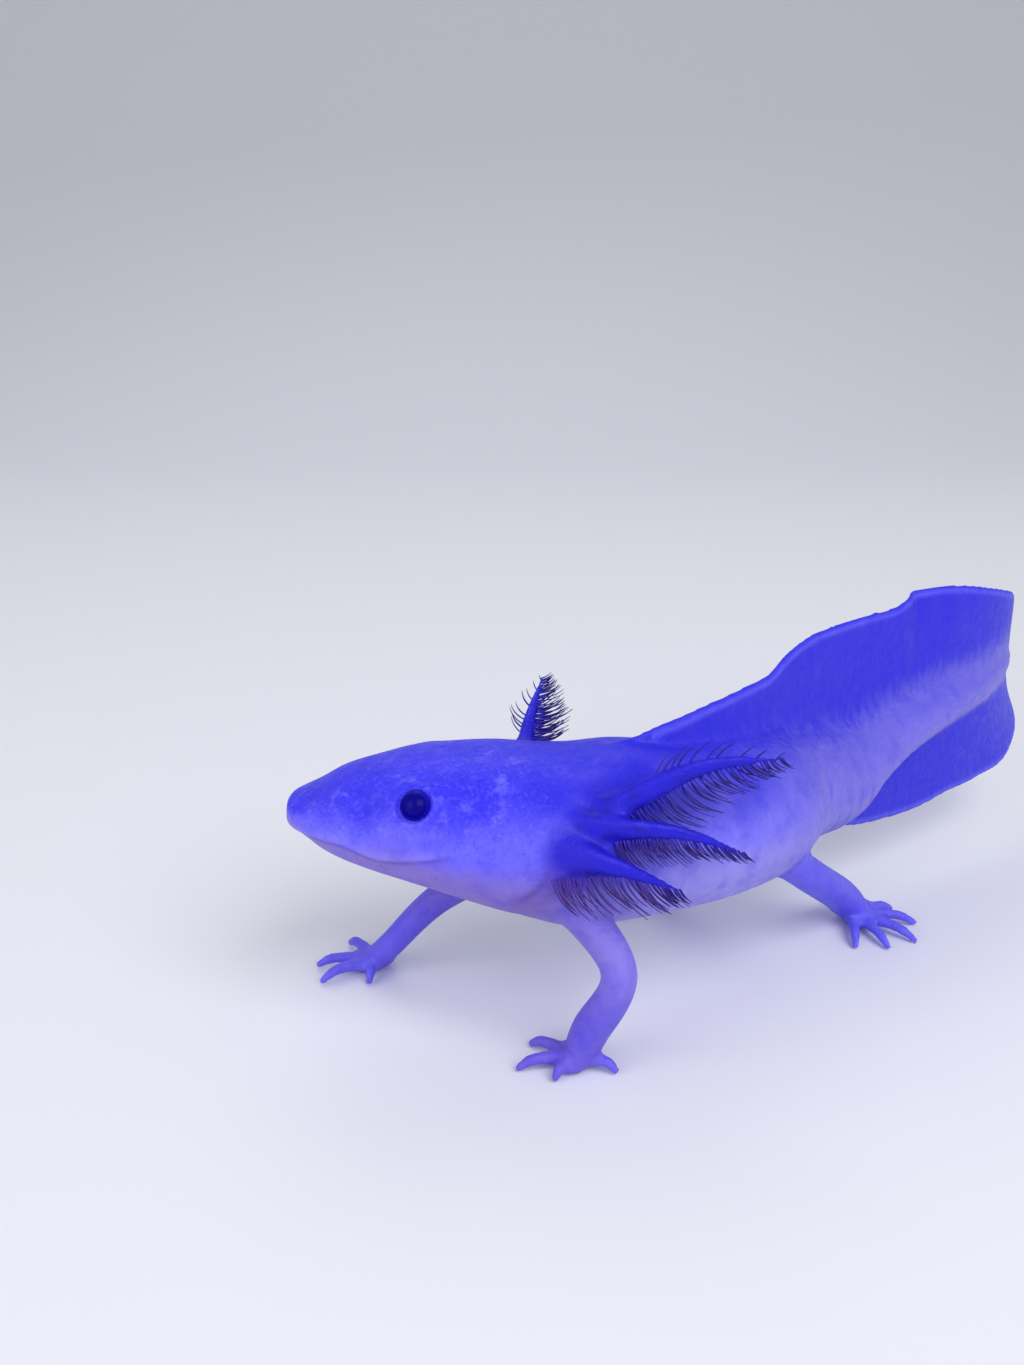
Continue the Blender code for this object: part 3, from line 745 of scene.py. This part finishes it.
def flank_relief(m):
    """Costal grooves down the flanks, and slanting muscle bands along the tail."""
    turn = m.high / m.flesh
    trunk = rise(m.s, 46, 6) * fade(m.s, 96, 8)
    lean = m.s + 0.9 * turn
    grooves = -0.22 * np.clip(np.cos(2 * math.pi * lean / COSTAL_GAP), 0, 1) ** 6
    side = smooth_step((0.95 - np.abs(turn + 0.05)) / 0.4)
    tail = rise(m.s, 92, 8) * fade(m.s, 190, 20)
    chevrons = 0.06 * np.sin(2 * math.pi * (m.s + 2.4 * np.abs(turn)) / CHEVRON_GAP)
    line = -0.22 * bell(turn - 0.12, 0.06) * rise(m.s, 60, 20)
    return m.body * (1 - m.fin) * side * (trunk * grooves + tail * chevrons + (1 - 0.4 * trunk) * line)


NOSTRIL_STATION = 8.6
NOSTRIL = (0.0, 9.4, 34.0)


def nostril_relief(points):
    """Two small pits with low rims."""
    depth = np.zeros(len(points))
    for side in (-1, 1):
        gap = distance(points, place(NOSTRIL_STATION, side, NOSTRIL))
        depth += 0.12 * bell(gap - 0.75, 0.3) - 0.5 * bell(gap, 0.42)
    return depth


def head_relief(m):
    """Shallow modelling of the head: a hollow before each eye, brows, and the swell of the jaw muscles."""
    out = np.abs(m.u)
    hollow = -0.35 * bell(m.s - 13.2, 3.2) * bell(m.z - 35.2, 2.0) * rise(out, 4, 4)
    middle = -0.12 * bell(out, 3.0) * bell(m.s - 24, 9) * smooth_step(m.high / 4)
    muscle = 0.2 * bell(m.s - 30, 5.5) * bell(out - 7.5, 3.4) * smooth_step(m.high / 4)
    return m.body * (hollow + middle + muscle)


EYE_TILT = 0.5  # how far an eye looks up, over how far the head's surface over it does
EYE_AHEAD = 0.12  # how far an eye looks ahead
EYE_OPENING = 2.25  # radius of the skin's opening round an eye
EYE_RIM = 0.42  # half width of the rim outside it
EYE_REACH = 6.0  # the skin is moved within this distance of the eye's middle line


def eye_axis(side):
    """The way an eye faces: out from the head's surface over it, and less upwards."""
    centre = EYES[side]
    s, u = (float(v[0]) for v in body_coordinates(centre[None]))
    axis, width, up, _, _, _ = body_form(s)
    _, back, right = spine_at(s)
    slope = np.append(right * (u / width**2), (centre[2] - axis) / up**2)
    return unit(unit(slope) * (1.0, 1.0, EYE_TILT) - EYE_AHEAD * np.append(back, 0.0))


def eyes_opened(points):
    """The skin drawn aside round each eyeball, with a low rounded rim."""
    for side, centre in EYES.items():
        way = eye_axis(side)
        gap = points - centre
        height = gap @ way
        flat = distance(gap, height[:, None] * way)
        near = (height > 0) & (flat < EYE_REACH)
        ball = np.sqrt(np.clip(EYE_RADIUS**2 - np.minimum(flat, EYE_RADIUS) ** 2, 0, None))
        under = smooth_step((EYE_OPENING + 0.3 - flat) / 0.6)
        sunk = np.minimum(height, ball - 0.3)
        lid = 0.12 * bell(flat - EYE_OPENING - EYE_RIM, EYE_RIM)
        new = height + (sunk - height) * under + lid * (1 - under)
        new += 0.3 * bell(flat, 4.5) * (1 - under)
        points = points + np.where(near, new - height, 0.0)[:, None] * way
    return points


HAIR = 1e-5


def kept_in_box(points):
    """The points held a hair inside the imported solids' box, in metres."""
    return np.clip(points, np.array(cad_low) + HAIR, np.array(cad_high) - HAIR)


def blush_of(m):
    """Warm skin round the gill slits under each lower stalk, and faintly along the throat and arms' roots."""
    slit = bell(behind_fold(m) - 1.2, 2.4) * bell(m.z - 26.5, 4.5) * rise(np.abs(m.u), 8, 4)
    throat = bell(m.s - 34, 13) * smooth_step((27 - m.z) / 8)
    return np.clip(slit + 0.55 * throat, 0, 1) * (1 - 0.7 * m.gill)


def add_mask(mesh, name, values):
    mesh.attributes.new(name, "FLOAT", "POINT").data.foreach_set("value", values.astype(np.float32))


def add_skin_masks(mesh, masks):
    """The masks that the skin's colours are mixed by."""
    s, z = masks.s, masks.z
    off = z - along(MOUTH_Z, s)
    front = mouth_reach(masks)
    # the gular fold's line, where painted shade goes
    fold = bell(behind_fold(masks), 0.8) * fold_reach(masks)
    # painted shade in the hollow before each eye
    shade = bell(s - 13.0, 2.8) * bell(z - 34.4, 1.8) * rise(np.abs(masks.u), 4, 4)
    drawn = dict(
        fin=masks.fin,
        belly=masks.belly,
        gill=masks.gill,
        limb=masks.limb * (1 - 0.7 * rise(z, 9, 9) * (s < FRONT_LIMBS)),
        rim=masks.rim,
        # painted shade in the groove between the lips and along the gular fold
        crease_shade=bell(off + 0.1, 0.34) * front * 0.7 + fold,
        lip=bell(off - 0.95, 0.6) * front,
        blush=blush_of(masks),
        station=s / BODY_LENGTH,
        shade=shade * masks.body,
        toe=fade(masks.toe, 1.0, 1.2),
    )
    for name, values in drawn.items():
        add_mask(mesh, name, values)


EASED, RESTORED = 0.6, 1.03  # a share of the way to the neighbours' mean, then this much of it back
EASING_ROUNDS = dict(all_over=6, behind_head=16, roots=32, at_last=3)


def skin_mesh():
    """(mesh, points, edges) of the one eased skin round the body, the limbs and the gill stalks."""
    lofts = [body_loft()]
    for limb in LIMBS.values():
        lofts += limb_lofts(limb)
    lofts += [gill_loft(gill) for gill in GILLS.values()]
    mesh = refined(remeshed("skin", *joined(lofts), VOXEL))
    edges = table_of(mesh.edges, "vertices", np.int32, 2)
    points, rounds = points_of(mesh), EASING_ROUNDS
    points = smoothed(points, edges, np.full(len(points), EASED), rounds["all_over"], RESTORED)
    behind_head = rise(body_coordinates(points)[0], GILL_STATION, 8)
    points = smoothed(points, edges, EASED * behind_head, rounds["behind_head"], RESTORED)
    points = smoothed(points, edges, root_weights(points), rounds["roots"])
    set_points(mesh, points)
    return mesh, points, edges


def make_skin():
    """The skin, modelled with its folds, grooves and eye rims."""
    mesh, points, edges = skin_mesh()
    masks = masks_of(points)
    normals = table_of(mesh.vertex_normals, "vector", np.float32, 3).astype(float)
    relief = mouth_relief(masks) + fold_relief(masks) + flank_relief(masks) + head_relief(masks)
    points = points + (relief + nostril_relief(points))[:, None] * normals
    points = eyes_opened(points)
    near_eyes = sum(bell(distance(points, centre) - EYE_RADIUS, 0.9) for centre in EYES.values())
    points = smoothed(points, edges, 0.3 + 0.3 * np.clip(near_eyes, 0, 1), EASING_ROUNDS["at_last"])
    points[:, 2] = np.maximum(points[:, 2], 0.0)
    add_skin_masks(mesh, masks)
    set_points(mesh, kept_in_box(to_row(points)))
    mesh.shade_smooth()
    mesh.materials.append(skin_material())
    return shown("skin", mesh)


# ---- eyes


EYE_RINGS = 48
EYE_AROUND = 64
EYE_POLE = 0.004  # radians from the pole to the first ring
EYE_LENS = 0.02  # how far the cornea bulges, over the radius
EYE_STREAKS = 9


def make_eye(side, name):
    """A ball with its pole facing out, so that pupil and iris are rings round it."""
    centre, way = EYES[side], eye_axis(side)
    across = unit(np.cross(way, (0, 0, 1)))
    over = np.cross(way, across)
    tilt = np.linspace(EYE_POLE, math.pi - EYE_POLE, EYE_RINGS)[:, None]
    turn = np.linspace(0, 2 * math.pi, EYE_AROUND, endpoint=False)[None]
    out = np.sin(tilt)[..., None] * (np.cos(turn)[..., None] * across + np.sin(turn)[..., None] * over)
    lens = 1 + EYE_LENS * bell(tilt, 0.7)
    points = centre + EYE_RADIUS * 0.995 * lens[..., None] * (out + np.cos(tilt)[..., None] * way)
    points, faces = looped(points)
    mesh = mesh_from(name, to_row(points).tolist(), faces)
    add_mask(mesh, "tilt", np.repeat(tilt.ravel() / math.pi, EYE_AROUND))
    add_mask(mesh, "turn", np.tile(np.abs(np.sin(turn.ravel() * EYE_STREAKS)), EYE_RINGS))
    mesh.validate()
    mesh.shade_smooth()
    mesh.materials.append(eye_material())
    return shown(name, mesh)


# ---- gill filaments

FILAMENT_SIDES = 5
FILAMENT_RINGS = 11
FILAMENT_RADIUS = 0.115
FILAMENTS = (42, 20)  # in the outer and the inner row along a stalk
ROW_LEANS = (0.3, -0.2)  # how far each row leans outward
TOP_ROW = dict(lean=0.15, share=0.62, trailing=0.8)  # and how short and far back the top ones are
EDGE_POINTS = 240
EDGE_MIDDLE = 159  # the point of a stalk's line where the filaments' edge passes closest under it
TOP_START = 122  # and where the top filaments begin


def filament(root, way, trail, length, radius):
    """One fine tapered filament that leaves root along way and bends over to trail behind."""
    f = np.linspace(0, 1, FILAMENT_RINGS)[:, None]
    path = root + length * (way * (f - 0.2 * f**2) + trail * 0.42 * f**2) - 0.25 * way
    return tube(path, radius * (1.1 - 0.75 * f[:, 0] ** 2), FILAMENT_SIDES)


def drift(chance, count, size):
    """Slowly wandering values, so that neighbouring filaments cling together in tufts."""
    rough = chance.normal(0, size, count // 3 + 3)
    return np.interp(np.arange(count) / 3, np.arange(len(rough)), rough)


def edge_line(gill, way, start):
    """Points along a stalk's edge on the side of way, from start to its tip."""
    path, radii = gill_line(gill, EDGE_POINTS)
    middle = path[EDGE_MIDDLE] + way * radii[EDGE_MIDDLE] * 0.85
    return smooth_path([start, middle, path[-1]], EDGE_POINTS)


def row_of_filaments(gill, chance, line, base_way, count, lean, share=1.0, trailing=0.0):
    """One row along an edge line, as (its root's place from 0 to 1, rings) of each filament."""
    ahead = unit(line[-1] - line[0])
    side = np.append(spine_at(GILL_STATION)[2], 0.0) * gill["side"]
    clump, swing = drift(chance, count, 0.14), drift(chance, count, 0.12)
    for k in range(count):
        f = (k + 0.5 + chance.uniform(-0.3, 0.3)) / count
        back = clump[k] + trailing + gill["sweep"] * f + chance.normal(0, 0.06)
        way = unit(base_way + (lean + swing[k]) * side + back * ahead)
        length = gill["comb"] * share * (0.9 + 0.2 * math.sin(math.pi * f)) * (1 - 0.6 * f**2)
        trail = unit(ahead + swing[k] * side + 0.3 * clump[k] * base_way)
        root = line[int(f * (EDGE_POINTS - 1))] + 0.5 * lean * side
        radius = FILAMENT_RADIUS * chance.uniform(0.85, 1.2)
        yield f, filament(root, way, trail, length * chance.uniform(0.8, 1.12), radius)


def make_filaments(name, gill, seed):
    """Two close rows of filaments under a stalk, with a few shorter ones that lie back along its top."""
    chance = np.random.default_rng(seed)
    _, back, right = spine_at(GILL_STATION)
    ahead, out, up = gill["spread"]
    way = unit(np.append(back * ahead + gill["side"] * right * out, up))
    hem = edge_line(gill, way, place(GILL_STATION, gill["side"], gill["hem"]))
    rows = [row_of_filaments(gill, chance, hem, way, count, lean) for count, lean in zip(FILAMENTS, ROW_LEANS)]
    path, radii = gill_line(gill, EDGE_POINTS)
    crest = edge_line(gill, -way, path[TOP_START] - way * radii[TOP_START] * 0.8)
    rows.append(row_of_filaments(gill, chance, crest, -way, gill["top"], **TOP_ROW))
    rings = [pair for row in rows for pair in row]
    points, faces = joined([looped(ring) for _, ring in rings])
    mesh = mesh_from(name, kept_in_box(to_row(points)).tolist(), faces)
    each = FILAMENT_RINGS * FILAMENT_SIDES
    add_mask(mesh, "tip", np.tile(np.repeat(np.linspace(0, 1, FILAMENT_RINGS), FILAMENT_SIDES), len(rings)))
    add_mask(mesh, "blush", np.repeat([gill["blush"] * (1 - f) for f, _ in rings], each))
    add_bake_map(mesh, len(rings))
    mesh.shade_smooth()
    mesh.materials.append(filament_material())
    return shown(name, mesh)


def add_bake_map(mesh, count):
    """A UV map with a small patch of its own for each filament."""
    patch = mesh.uv_layers.new(name="OFBake")
    corner = table_of(mesh.loops, "vertex_index", np.int32, 1)[:, 0]
    each = FILAMENT_RINGS * FILAMENT_SIDES
    index, within = corner // each, corner % each
    across = math.ceil(math.sqrt(count))
    cell = 1 / across
    u = (index % across + 0.1 + 0.8 * (within % FILAMENT_SIDES) / FILAMENT_SIDES) * cell
    v = (index // across + 0.1 + 0.8 * (within // FILAMENT_SIDES) / FILAMENT_RINGS) * cell
    patch.data.foreach_set("uv", np.stack([u, v], 1).astype(np.float32).ravel())


# ---- materials


def linear(*colour):
    """A colour given as 0 to 255 on a screen, as the shader wants it."""
    return tuple(((c / 255 + 0.055) / 1.055) ** 2.4 if c > 10 else c / 255 / 12.92 for c in colour) + (1.0,)


# Painted light: the animal itself is pale, and the blue of the skin's colours, deepest on the back, crown and
# fins and fading to pink below, stands in for blue light falling from above.
BACK = linear(32, 29, 214)
CROWN = linear(50, 46, 232)
CHEEK = linear(104, 98, 245)
FLANK = linear(122, 116, 240)
BELLY = linear(150, 142, 232)
THROAT = linear(132, 112, 204)
LIMB = linear(92, 86, 232)
FIN = linear(44, 40, 212)
# painted highlight along the fins' folded edges
FIN_RIM_HIGHLIGHT = linear(100, 98, 238)
BAND = linear(116, 110, 214)
STALK = linear(28, 20, 196)
VEIN = linear(18, 12, 130)
FILAMENT = linear(30, 20, 118)
FILAMENT_ROOT = linear(36, 26, 170)
BLUSH = linear(104, 62, 136)
FLECK = linear(142, 138, 255)
DOT = linear(44, 38, 178)
# painted shade for the groove between the lips and the gular fold
CREASE_SHADE = linear(74, 54, 168)
EYE_BLACK = linear(8, 2, 124)
EYE_RING = linear(30, 22, 172)
FLOOR = linear(232, 233, 238)


def add(tree, kind, inputs=None, **settings):
    """A node with its settings; each input is set to a value or linked from a socket."""
    made = tree.nodes.new(kind)
    for name, value in settings.items():
        setattr(made, name, value)
    for name, value in (inputs or {}).items():
        if isinstance(value, bpy.types.NodeSocket):
            tree.links.new(value, made.inputs[name])
        else:
            made.inputs[name].default_value = value
    return made


def mask(tree, name, share=None):
    """One of the mesh's masks, from 0 to 1, or a share of it."""
    whole = add(tree, "ShaderNodeAttribute", attribute_name=name).outputs["Fac"]
    return whole if share is None else product(tree, whole, share)


def ramp(tree, value, low, high, bottom=0.0, top=1.0):
    """A smooth change from bottom to top as the value goes from low to high."""
    return add(tree, "ShaderNodeMapRange", {
        "Value": value, "From Min": low, "From Max": high, "To Min": bottom, "To Max": top,
    }, interpolation_type="SMOOTHSTEP").outputs[0]


def product(tree, made, *others):
    for other in others:
        made = add(tree, "ShaderNodeMath", {0: made, 1: other}, operation="MULTIPLY").outputs[0]
    return made


def added(tree, a, b):
    return add(tree, "ShaderNodeMath", {0: a, 1: b}, operation="ADD").outputs[0]


def without(tree, value):
    """One less the value."""
    return add(tree, "ShaderNodeMath", {0: 1.0, 1: value}, operation="SUBTRACT").outputs[0]


def mixed(tree, amount, a, b):
    return add(tree, "ShaderNodeMix", {0: amount, 6: a, 7: b}, data_type="RGBA").outputs[2]


def painted(tree, colour, *coats):
    """The colour under coats of paint, each given as (how much of it, its colour)."""
    for amount, paint in coats:
        colour = mixed(tree, amount, colour, paint)
    return colour


NOISE_ROUGHNESS = 0.55


def noise(tree, scale, detail=3.0, stretch=(1, 1, 1)):
    """Noise over the object's own coordinates, in features to the metre."""
    where = add(tree, "ShaderNodeTexCoord").outputs["Object"]
    if stretch != (1, 1, 1):
        where = add(tree, "ShaderNodeMapping", {"Vector": where, "Scale": stretch}).outputs[0]
    return add(tree, "ShaderNodeTexNoise", {
        "Vector": where, "Scale": scale, "Detail": detail, "Roughness": NOISE_ROUGHNESS,
    }).outputs["Fac"]


def new_tree(name):
    made = bpy.data.materials.new(name)
    made.use_nodes = True
    made.node_tree.nodes.clear()
    return made, made.node_tree


def finish_tree(tree, inputs):
    surface = add(tree, "ShaderNodeBsdfPrincipled", inputs)
    end = add(tree, "ShaderNodeOutputMaterial")
    tree.links.new(surface.outputs[0], end.inputs["Surface"])


def bumped(tree, height, distance, under=None):
    """A normal with bumps of that depth in metres, laid over the one under it."""
    inputs = {"Height": height, "Distance": distance, "Strength": 1.0}
    if under is not None:
        inputs["Normal"] = under
    return add(tree, "ShaderNodeBump", inputs).outputs[0]


def flesh_colour(tree, on_head):
    """Deep blue on the back, paler on the sides and pinker below, as painted blue light from above on a pale
    animal, with a pale band along the tail and blue limbs.
    """
    patchy = added(tree, mask(tree, "belly"), ramp(tree, noise(tree, 90), 0.3, 0.7, -0.07, 0.07))
    pale = added(tree, patchy, ramp(tree, on_head, 0.0, 1.0, 0.18, 0.1))
    back, sides = mixed(tree, on_head, BACK, CROWN), mixed(tree, on_head, FLANK, CHEEK)
    return painted(
        tree, back,
        (ramp(tree, pale, 0.1, 0.52), sides),
        (ramp(tree, pale, 0.5, 0.86), mixed(tree, on_head, BELLY, THROAT)),
        (ramp(tree, mask(tree, "station"), 0.235, 0.38, 0.0, 0.8), BAND),
        (mask(tree, "limb", 0.8), LIMB),
        (mask(tree, "toe", 0.3), FLANK),
    )


def with_fins_and_gills(tree, colour):
    """The fins' blue, begun in ragged streaks, with a paler rim that is a painted highlight, painted shade in
    the hollow before each eye, and the gill stalks with their vessels, whose colour runs round their roots as
    painted shade.
    """
    fin, gill = mask(tree, "fin"), mask(tree, "gill")
    ragged = ramp(tree, noise(tree, 900, stretch=(1.0, 1.0, 0.3)), 0.3, 0.7, -0.12, 0.12)
    torn = added(tree, fin, product(tree, ragged, ramp(tree, fin, 0.0, 0.25)))
    # painted shade in the hollow before each eye, in the back's deep blue
    eye_hollow_shade = product(tree, mask(tree, "shade"), ramp(tree, noise(tree, 420), 0.35, 0.65, 0.2, 0.75))
    veins = ramp(tree, noise(tree, 620, stretch=(0.2, 1.0, 1.0)), 0.5, 0.72, 0.0, 0.45)
    return painted(
        tree, colour,
        (ramp(tree, torn, 0.08, 1.0), FIN),
        # painted highlight along the fins' folded edges
        (mask(tree, "rim", 0.7), FIN_RIM_HIGHLIGHT),
        (eye_hollow_shade, BACK),
        # the stalks' colour, with painted shade round their roots
        (gill, STALK),
        (product(tree, veins, ramp(tree, gill, 0.85, 1.0)), VEIN),
    )


def with_folds(tree, colour):
    """A warm blush round the gill slits, paler lips, and painted shade in the groove between the lips and along
    the gular fold.
    """
    return painted(
        tree, colour,
        (mask(tree, "blush", 0.55), BLUSH),
        (mask(tree, "lip", 0.4), FLECK),
        # painted shade in the mouth's groove and the gular fold
        (mask(tree, "crease_shade", 0.35), CREASE_SHADE),
    )


def with_flecks(tree, colour, on_head):
    """Pale patches and flecks and dark dots, most of them on the head, and faint rays in the fins."""
    belly, fin, gill = (mask(tree, name) for name in ("belly", "fin", "gill"))
    bare = product(tree, ramp(tree, belly, 0.75, 0.2), without(tree, fin), without(tree, gill))
    upper = product(tree, bare, ramp(tree, on_head, 0.0, 1.0, 0.35, 1.0))
    patches = ramp(tree, noise(tree, 430, 4.5), 0.5, 0.7)
    flecks = ramp(tree, noise(tree, 1900, 2.5), 0.5, 0.75)
    dots = ramp(tree, noise(tree, 1700, 2.5), 0.47, 0.3)
    cloud = ramp(tree, noise(tree, 230, 4.0), 0.4, 0.68, 0.15, 1.0)
    rays = ramp(tree, noise(tree, 500, stretch=(1.0, 1.0, 0.3)), 0.45, 0.8)
    return painted(
        tree, colour,
        (product(tree, patches, upper, cloud, 0.45), FLECK),
        (product(tree, flecks, upper, 0.22), FLECK),
        (product(tree, dots, upper, 0.4), DOT),
        (ramp(tree, noise(tree, 330), 0.42, 0.75, 0.0, 0.3), BACK),
        (product(tree, rays, fin, 0.07), FLANK),
    )


def skin_material():
    """Moist, faintly see-through skin."""
    made, tree = new_tree("axolotl_skin")
    on_head = ramp(tree, mask(tree, "station"), 0.21, 0.13)
    colour = with_fins_and_gills(tree, flesh_colour(tree, on_head))
    colour = with_flecks(tree, with_folds(tree, colour), on_head)
    pores = bumped(tree, noise(tree, 2300, 2.0), 0.00012)
    finish_tree(tree, {
        "Base Color": colour,
        "Roughness": ramp(tree, noise(tree, 700), 0.3, 0.7, 0.42, 0.56),
        "Subsurface Weight": 0.25,
        "Subsurface Radius": (1.0, 0.62, 1.0),
        "Subsurface Scale": 0.0018,
        "Specular IOR Level": 0.22,
        "Coat Weight": 0.07,
        "Coat Roughness": 0.2,
        "Normal": bumped(tree, noise(tree, 700, 4.0), 0.00025, under=pores),
    })
    return made


@functools.cache
def filament_material():
    """Dark filaments, bluer where they leave the stalk and redder on the lower gills."""
    made, tree = new_tree("gill_filament")
    colour = painted(
        tree, FILAMENT_ROOT,
        (ramp(tree, mask(tree, "tip"), 0.0, 0.45), FILAMENT),
        (mask(tree, "blush", 0.7), BLUSH),
        (ramp(tree, noise(tree, 900), 0.5, 0.75, 0.0, 0.12), BLUSH),
    )
    finish_tree(tree, {
        "Base Color": colour, "Specular IOR Level": 0.15,
        "Roughness": 0.42, "Coat Weight": 0.2, "Coat Roughness": 0.2,
        "Normal": bumped(tree, noise(tree, 2500), 0.00003),
    })
    return made


@functools.cache
def eye_material():
    """A dark wet eye with a faint blue ring at its edge."""
    made, tree = new_tree("axolotl_eye")
    ring = ramp(tree, mask(tree, "tilt"), 0.235, 0.285)
    streak = ramp(tree, mask(tree, "turn"), 0.2, 1.0, 0.6, 1.0)
    colour = mixed(tree, product(tree, ring, streak), EYE_BLACK, EYE_RING)
    finish_tree(tree, {
        "Base Color": colour, "Roughness": ramp(tree, noise(tree, 900), 0.3, 0.7, 0.3, 0.36),
        "Specular IOR Level": 0.04, "Coat Weight": 0.05, "Coat Roughness": 0.05,
    })
    return made


def floor_material():
    made, tree = new_tree("studio_floor")
    finish_tree(tree, {"Base Color": FLOOR, "Roughness": ramp(tree, noise(tree, 60), 0.3, 0.7, 0.6, 0.7)})
    return made


# ---- studio and camera

FOCAL = 32.967033  # millimetres, for a sensor whose longer side is 36 mm
CAMERA_HEIGHT = 100.0
CAMERA_PITCH = 17.25  # degrees below level
CAMERA_AZIMUTH = 28.0  # from +Y towards +X
CAMERA_FROM_SNOUT = (-48.62, -158.76)
# The floor and the lights are in metres: how far the floor comes forward, how far back it is flat, the radius
# of its curve, and how high and wide it is.
FLOOR_NEAR, FLOOR_FLAT, FLOOR_BEND = 1.2, 0.55, 1.1
FLOOR_TOP, FLOOR_HALF_WIDTH = 3.0, 3.0
LIGHT_AIM = (0, 0, 0.02)
LIGHTS = {
    "key": dict(azimuth=-30, elevation=44, distance=0.9, size=0.7, power=5.0, colour=(0.99, 0.98, 1.0)),
    "fill": dict(azimuth=50, elevation=24, distance=1.0, size=0.8, power=3.2, colour=(1.0, 0.98, 0.99)),
    "rim": dict(azimuth=170, elevation=50, distance=1.0, size=0.6, power=1.3, colour=(0.94, 0.95, 1.0)),
}
SKY, SKY_STRENGTH = (0.86, 0.88, 0.95, 1.0), 0.5


def make_camera():
    data = bpy.data.cameras.new("camera")
    data.lens = FOCAL
    data.clip_start = 0.01
    camera = shown("camera", data)
    camera.location = to_row((*CAMERA_FROM_SNOUT, CAMERA_HEIGHT))
    camera.rotation_euler = (math.radians(90 - CAMERA_PITCH), 0.0, -math.radians(CAMERA_AZIMUTH))
    bpy.context.scene.camera = camera


def make_floor():
    """A pale sheet that lies flat and curves up far behind the animal, square to the camera."""
    turn = math.radians(-CAMERA_AZIMUTH)
    curve = [(FLOOR_FLAT + FLOOR_BEND * math.sin(a), FLOOR_BEND - FLOOR_BEND * math.cos(a))
             for a in np.linspace(0, math.pi / 2, 16)]
    line = [(-FLOOR_NEAR, 0.0), *curve, (FLOOR_FLAT + FLOOR_BEND, FLOOR_TOP)]
    points = []
    for x in (-FLOOR_HALF_WIDTH, FLOOR_HALF_WIDTH):
        for y, z in line:
            points.append((x * math.cos(turn) - y * math.sin(turn), x * math.sin(turn) + y * math.cos(turn), z))
    n = len(line)
    mesh = mesh_from("floor", points, [(k, n + k, n + k + 1, k + 1) for k in range(n - 1)])
    mesh.shade_smooth()
    mesh.materials.append(floor_material())
    shown("floor", mesh)


def make_light(name, azimuth, elevation, distance, size, power, colour):
    """A soft panel that faces the animal, in metres and watts; azimuth turns from the camera to its left."""
    a, e = math.radians(CAMERA_AZIMUTH + azimuth), math.radians(elevation)
    towards = Vector((-math.sin(a) * math.cos(e), -math.cos(a) * math.cos(e), math.sin(e)))
    data = bpy.data.lights.new(name, "AREA")
    data.shape = "DISK"
    data.size = size
    data.energy = power
    data.color = colour
    light = shown(name, data)
    light.location = Vector(LIGHT_AIM) + towards * distance
    light.rotation_euler = towards.to_track_quat("Z", "Y").to_euler()


def make_studio():
    """A pale floor, three soft lights and a pale sky, with colours shown as they are."""
    bpy.context.scene.view_settings.view_transform = "Standard"
    make_floor()
    for name, light in LIGHTS.items():
        make_light(name, **light)
    world = bpy.data.worlds.new("studio")
    world.use_nodes = True
    world.node_tree.nodes["Background"].inputs[0].default_value = SKY
    world.node_tree.nodes["Background"].inputs[1].default_value = SKY_STRENGTH
    bpy.context.scene.world = world


# ---- all together


def main():
    make_camera()
    make_studio()
    skin = make_skin()
    flesh = [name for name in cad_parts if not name.startswith("eye_")]
    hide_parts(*flesh)
    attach(skin, "root")
    for side, label in ((-1, "left"), (1, "right")):
        ball = make_eye(side, f"eyeball_{label}")
        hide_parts(f"eye_{label}")
        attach(ball, "root")
    for seed, (label, gill) in enumerate(GILLS.items()):
        comb = make_filaments(f"filaments_{label}", gill, seed)
        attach(comb, "root")


main()
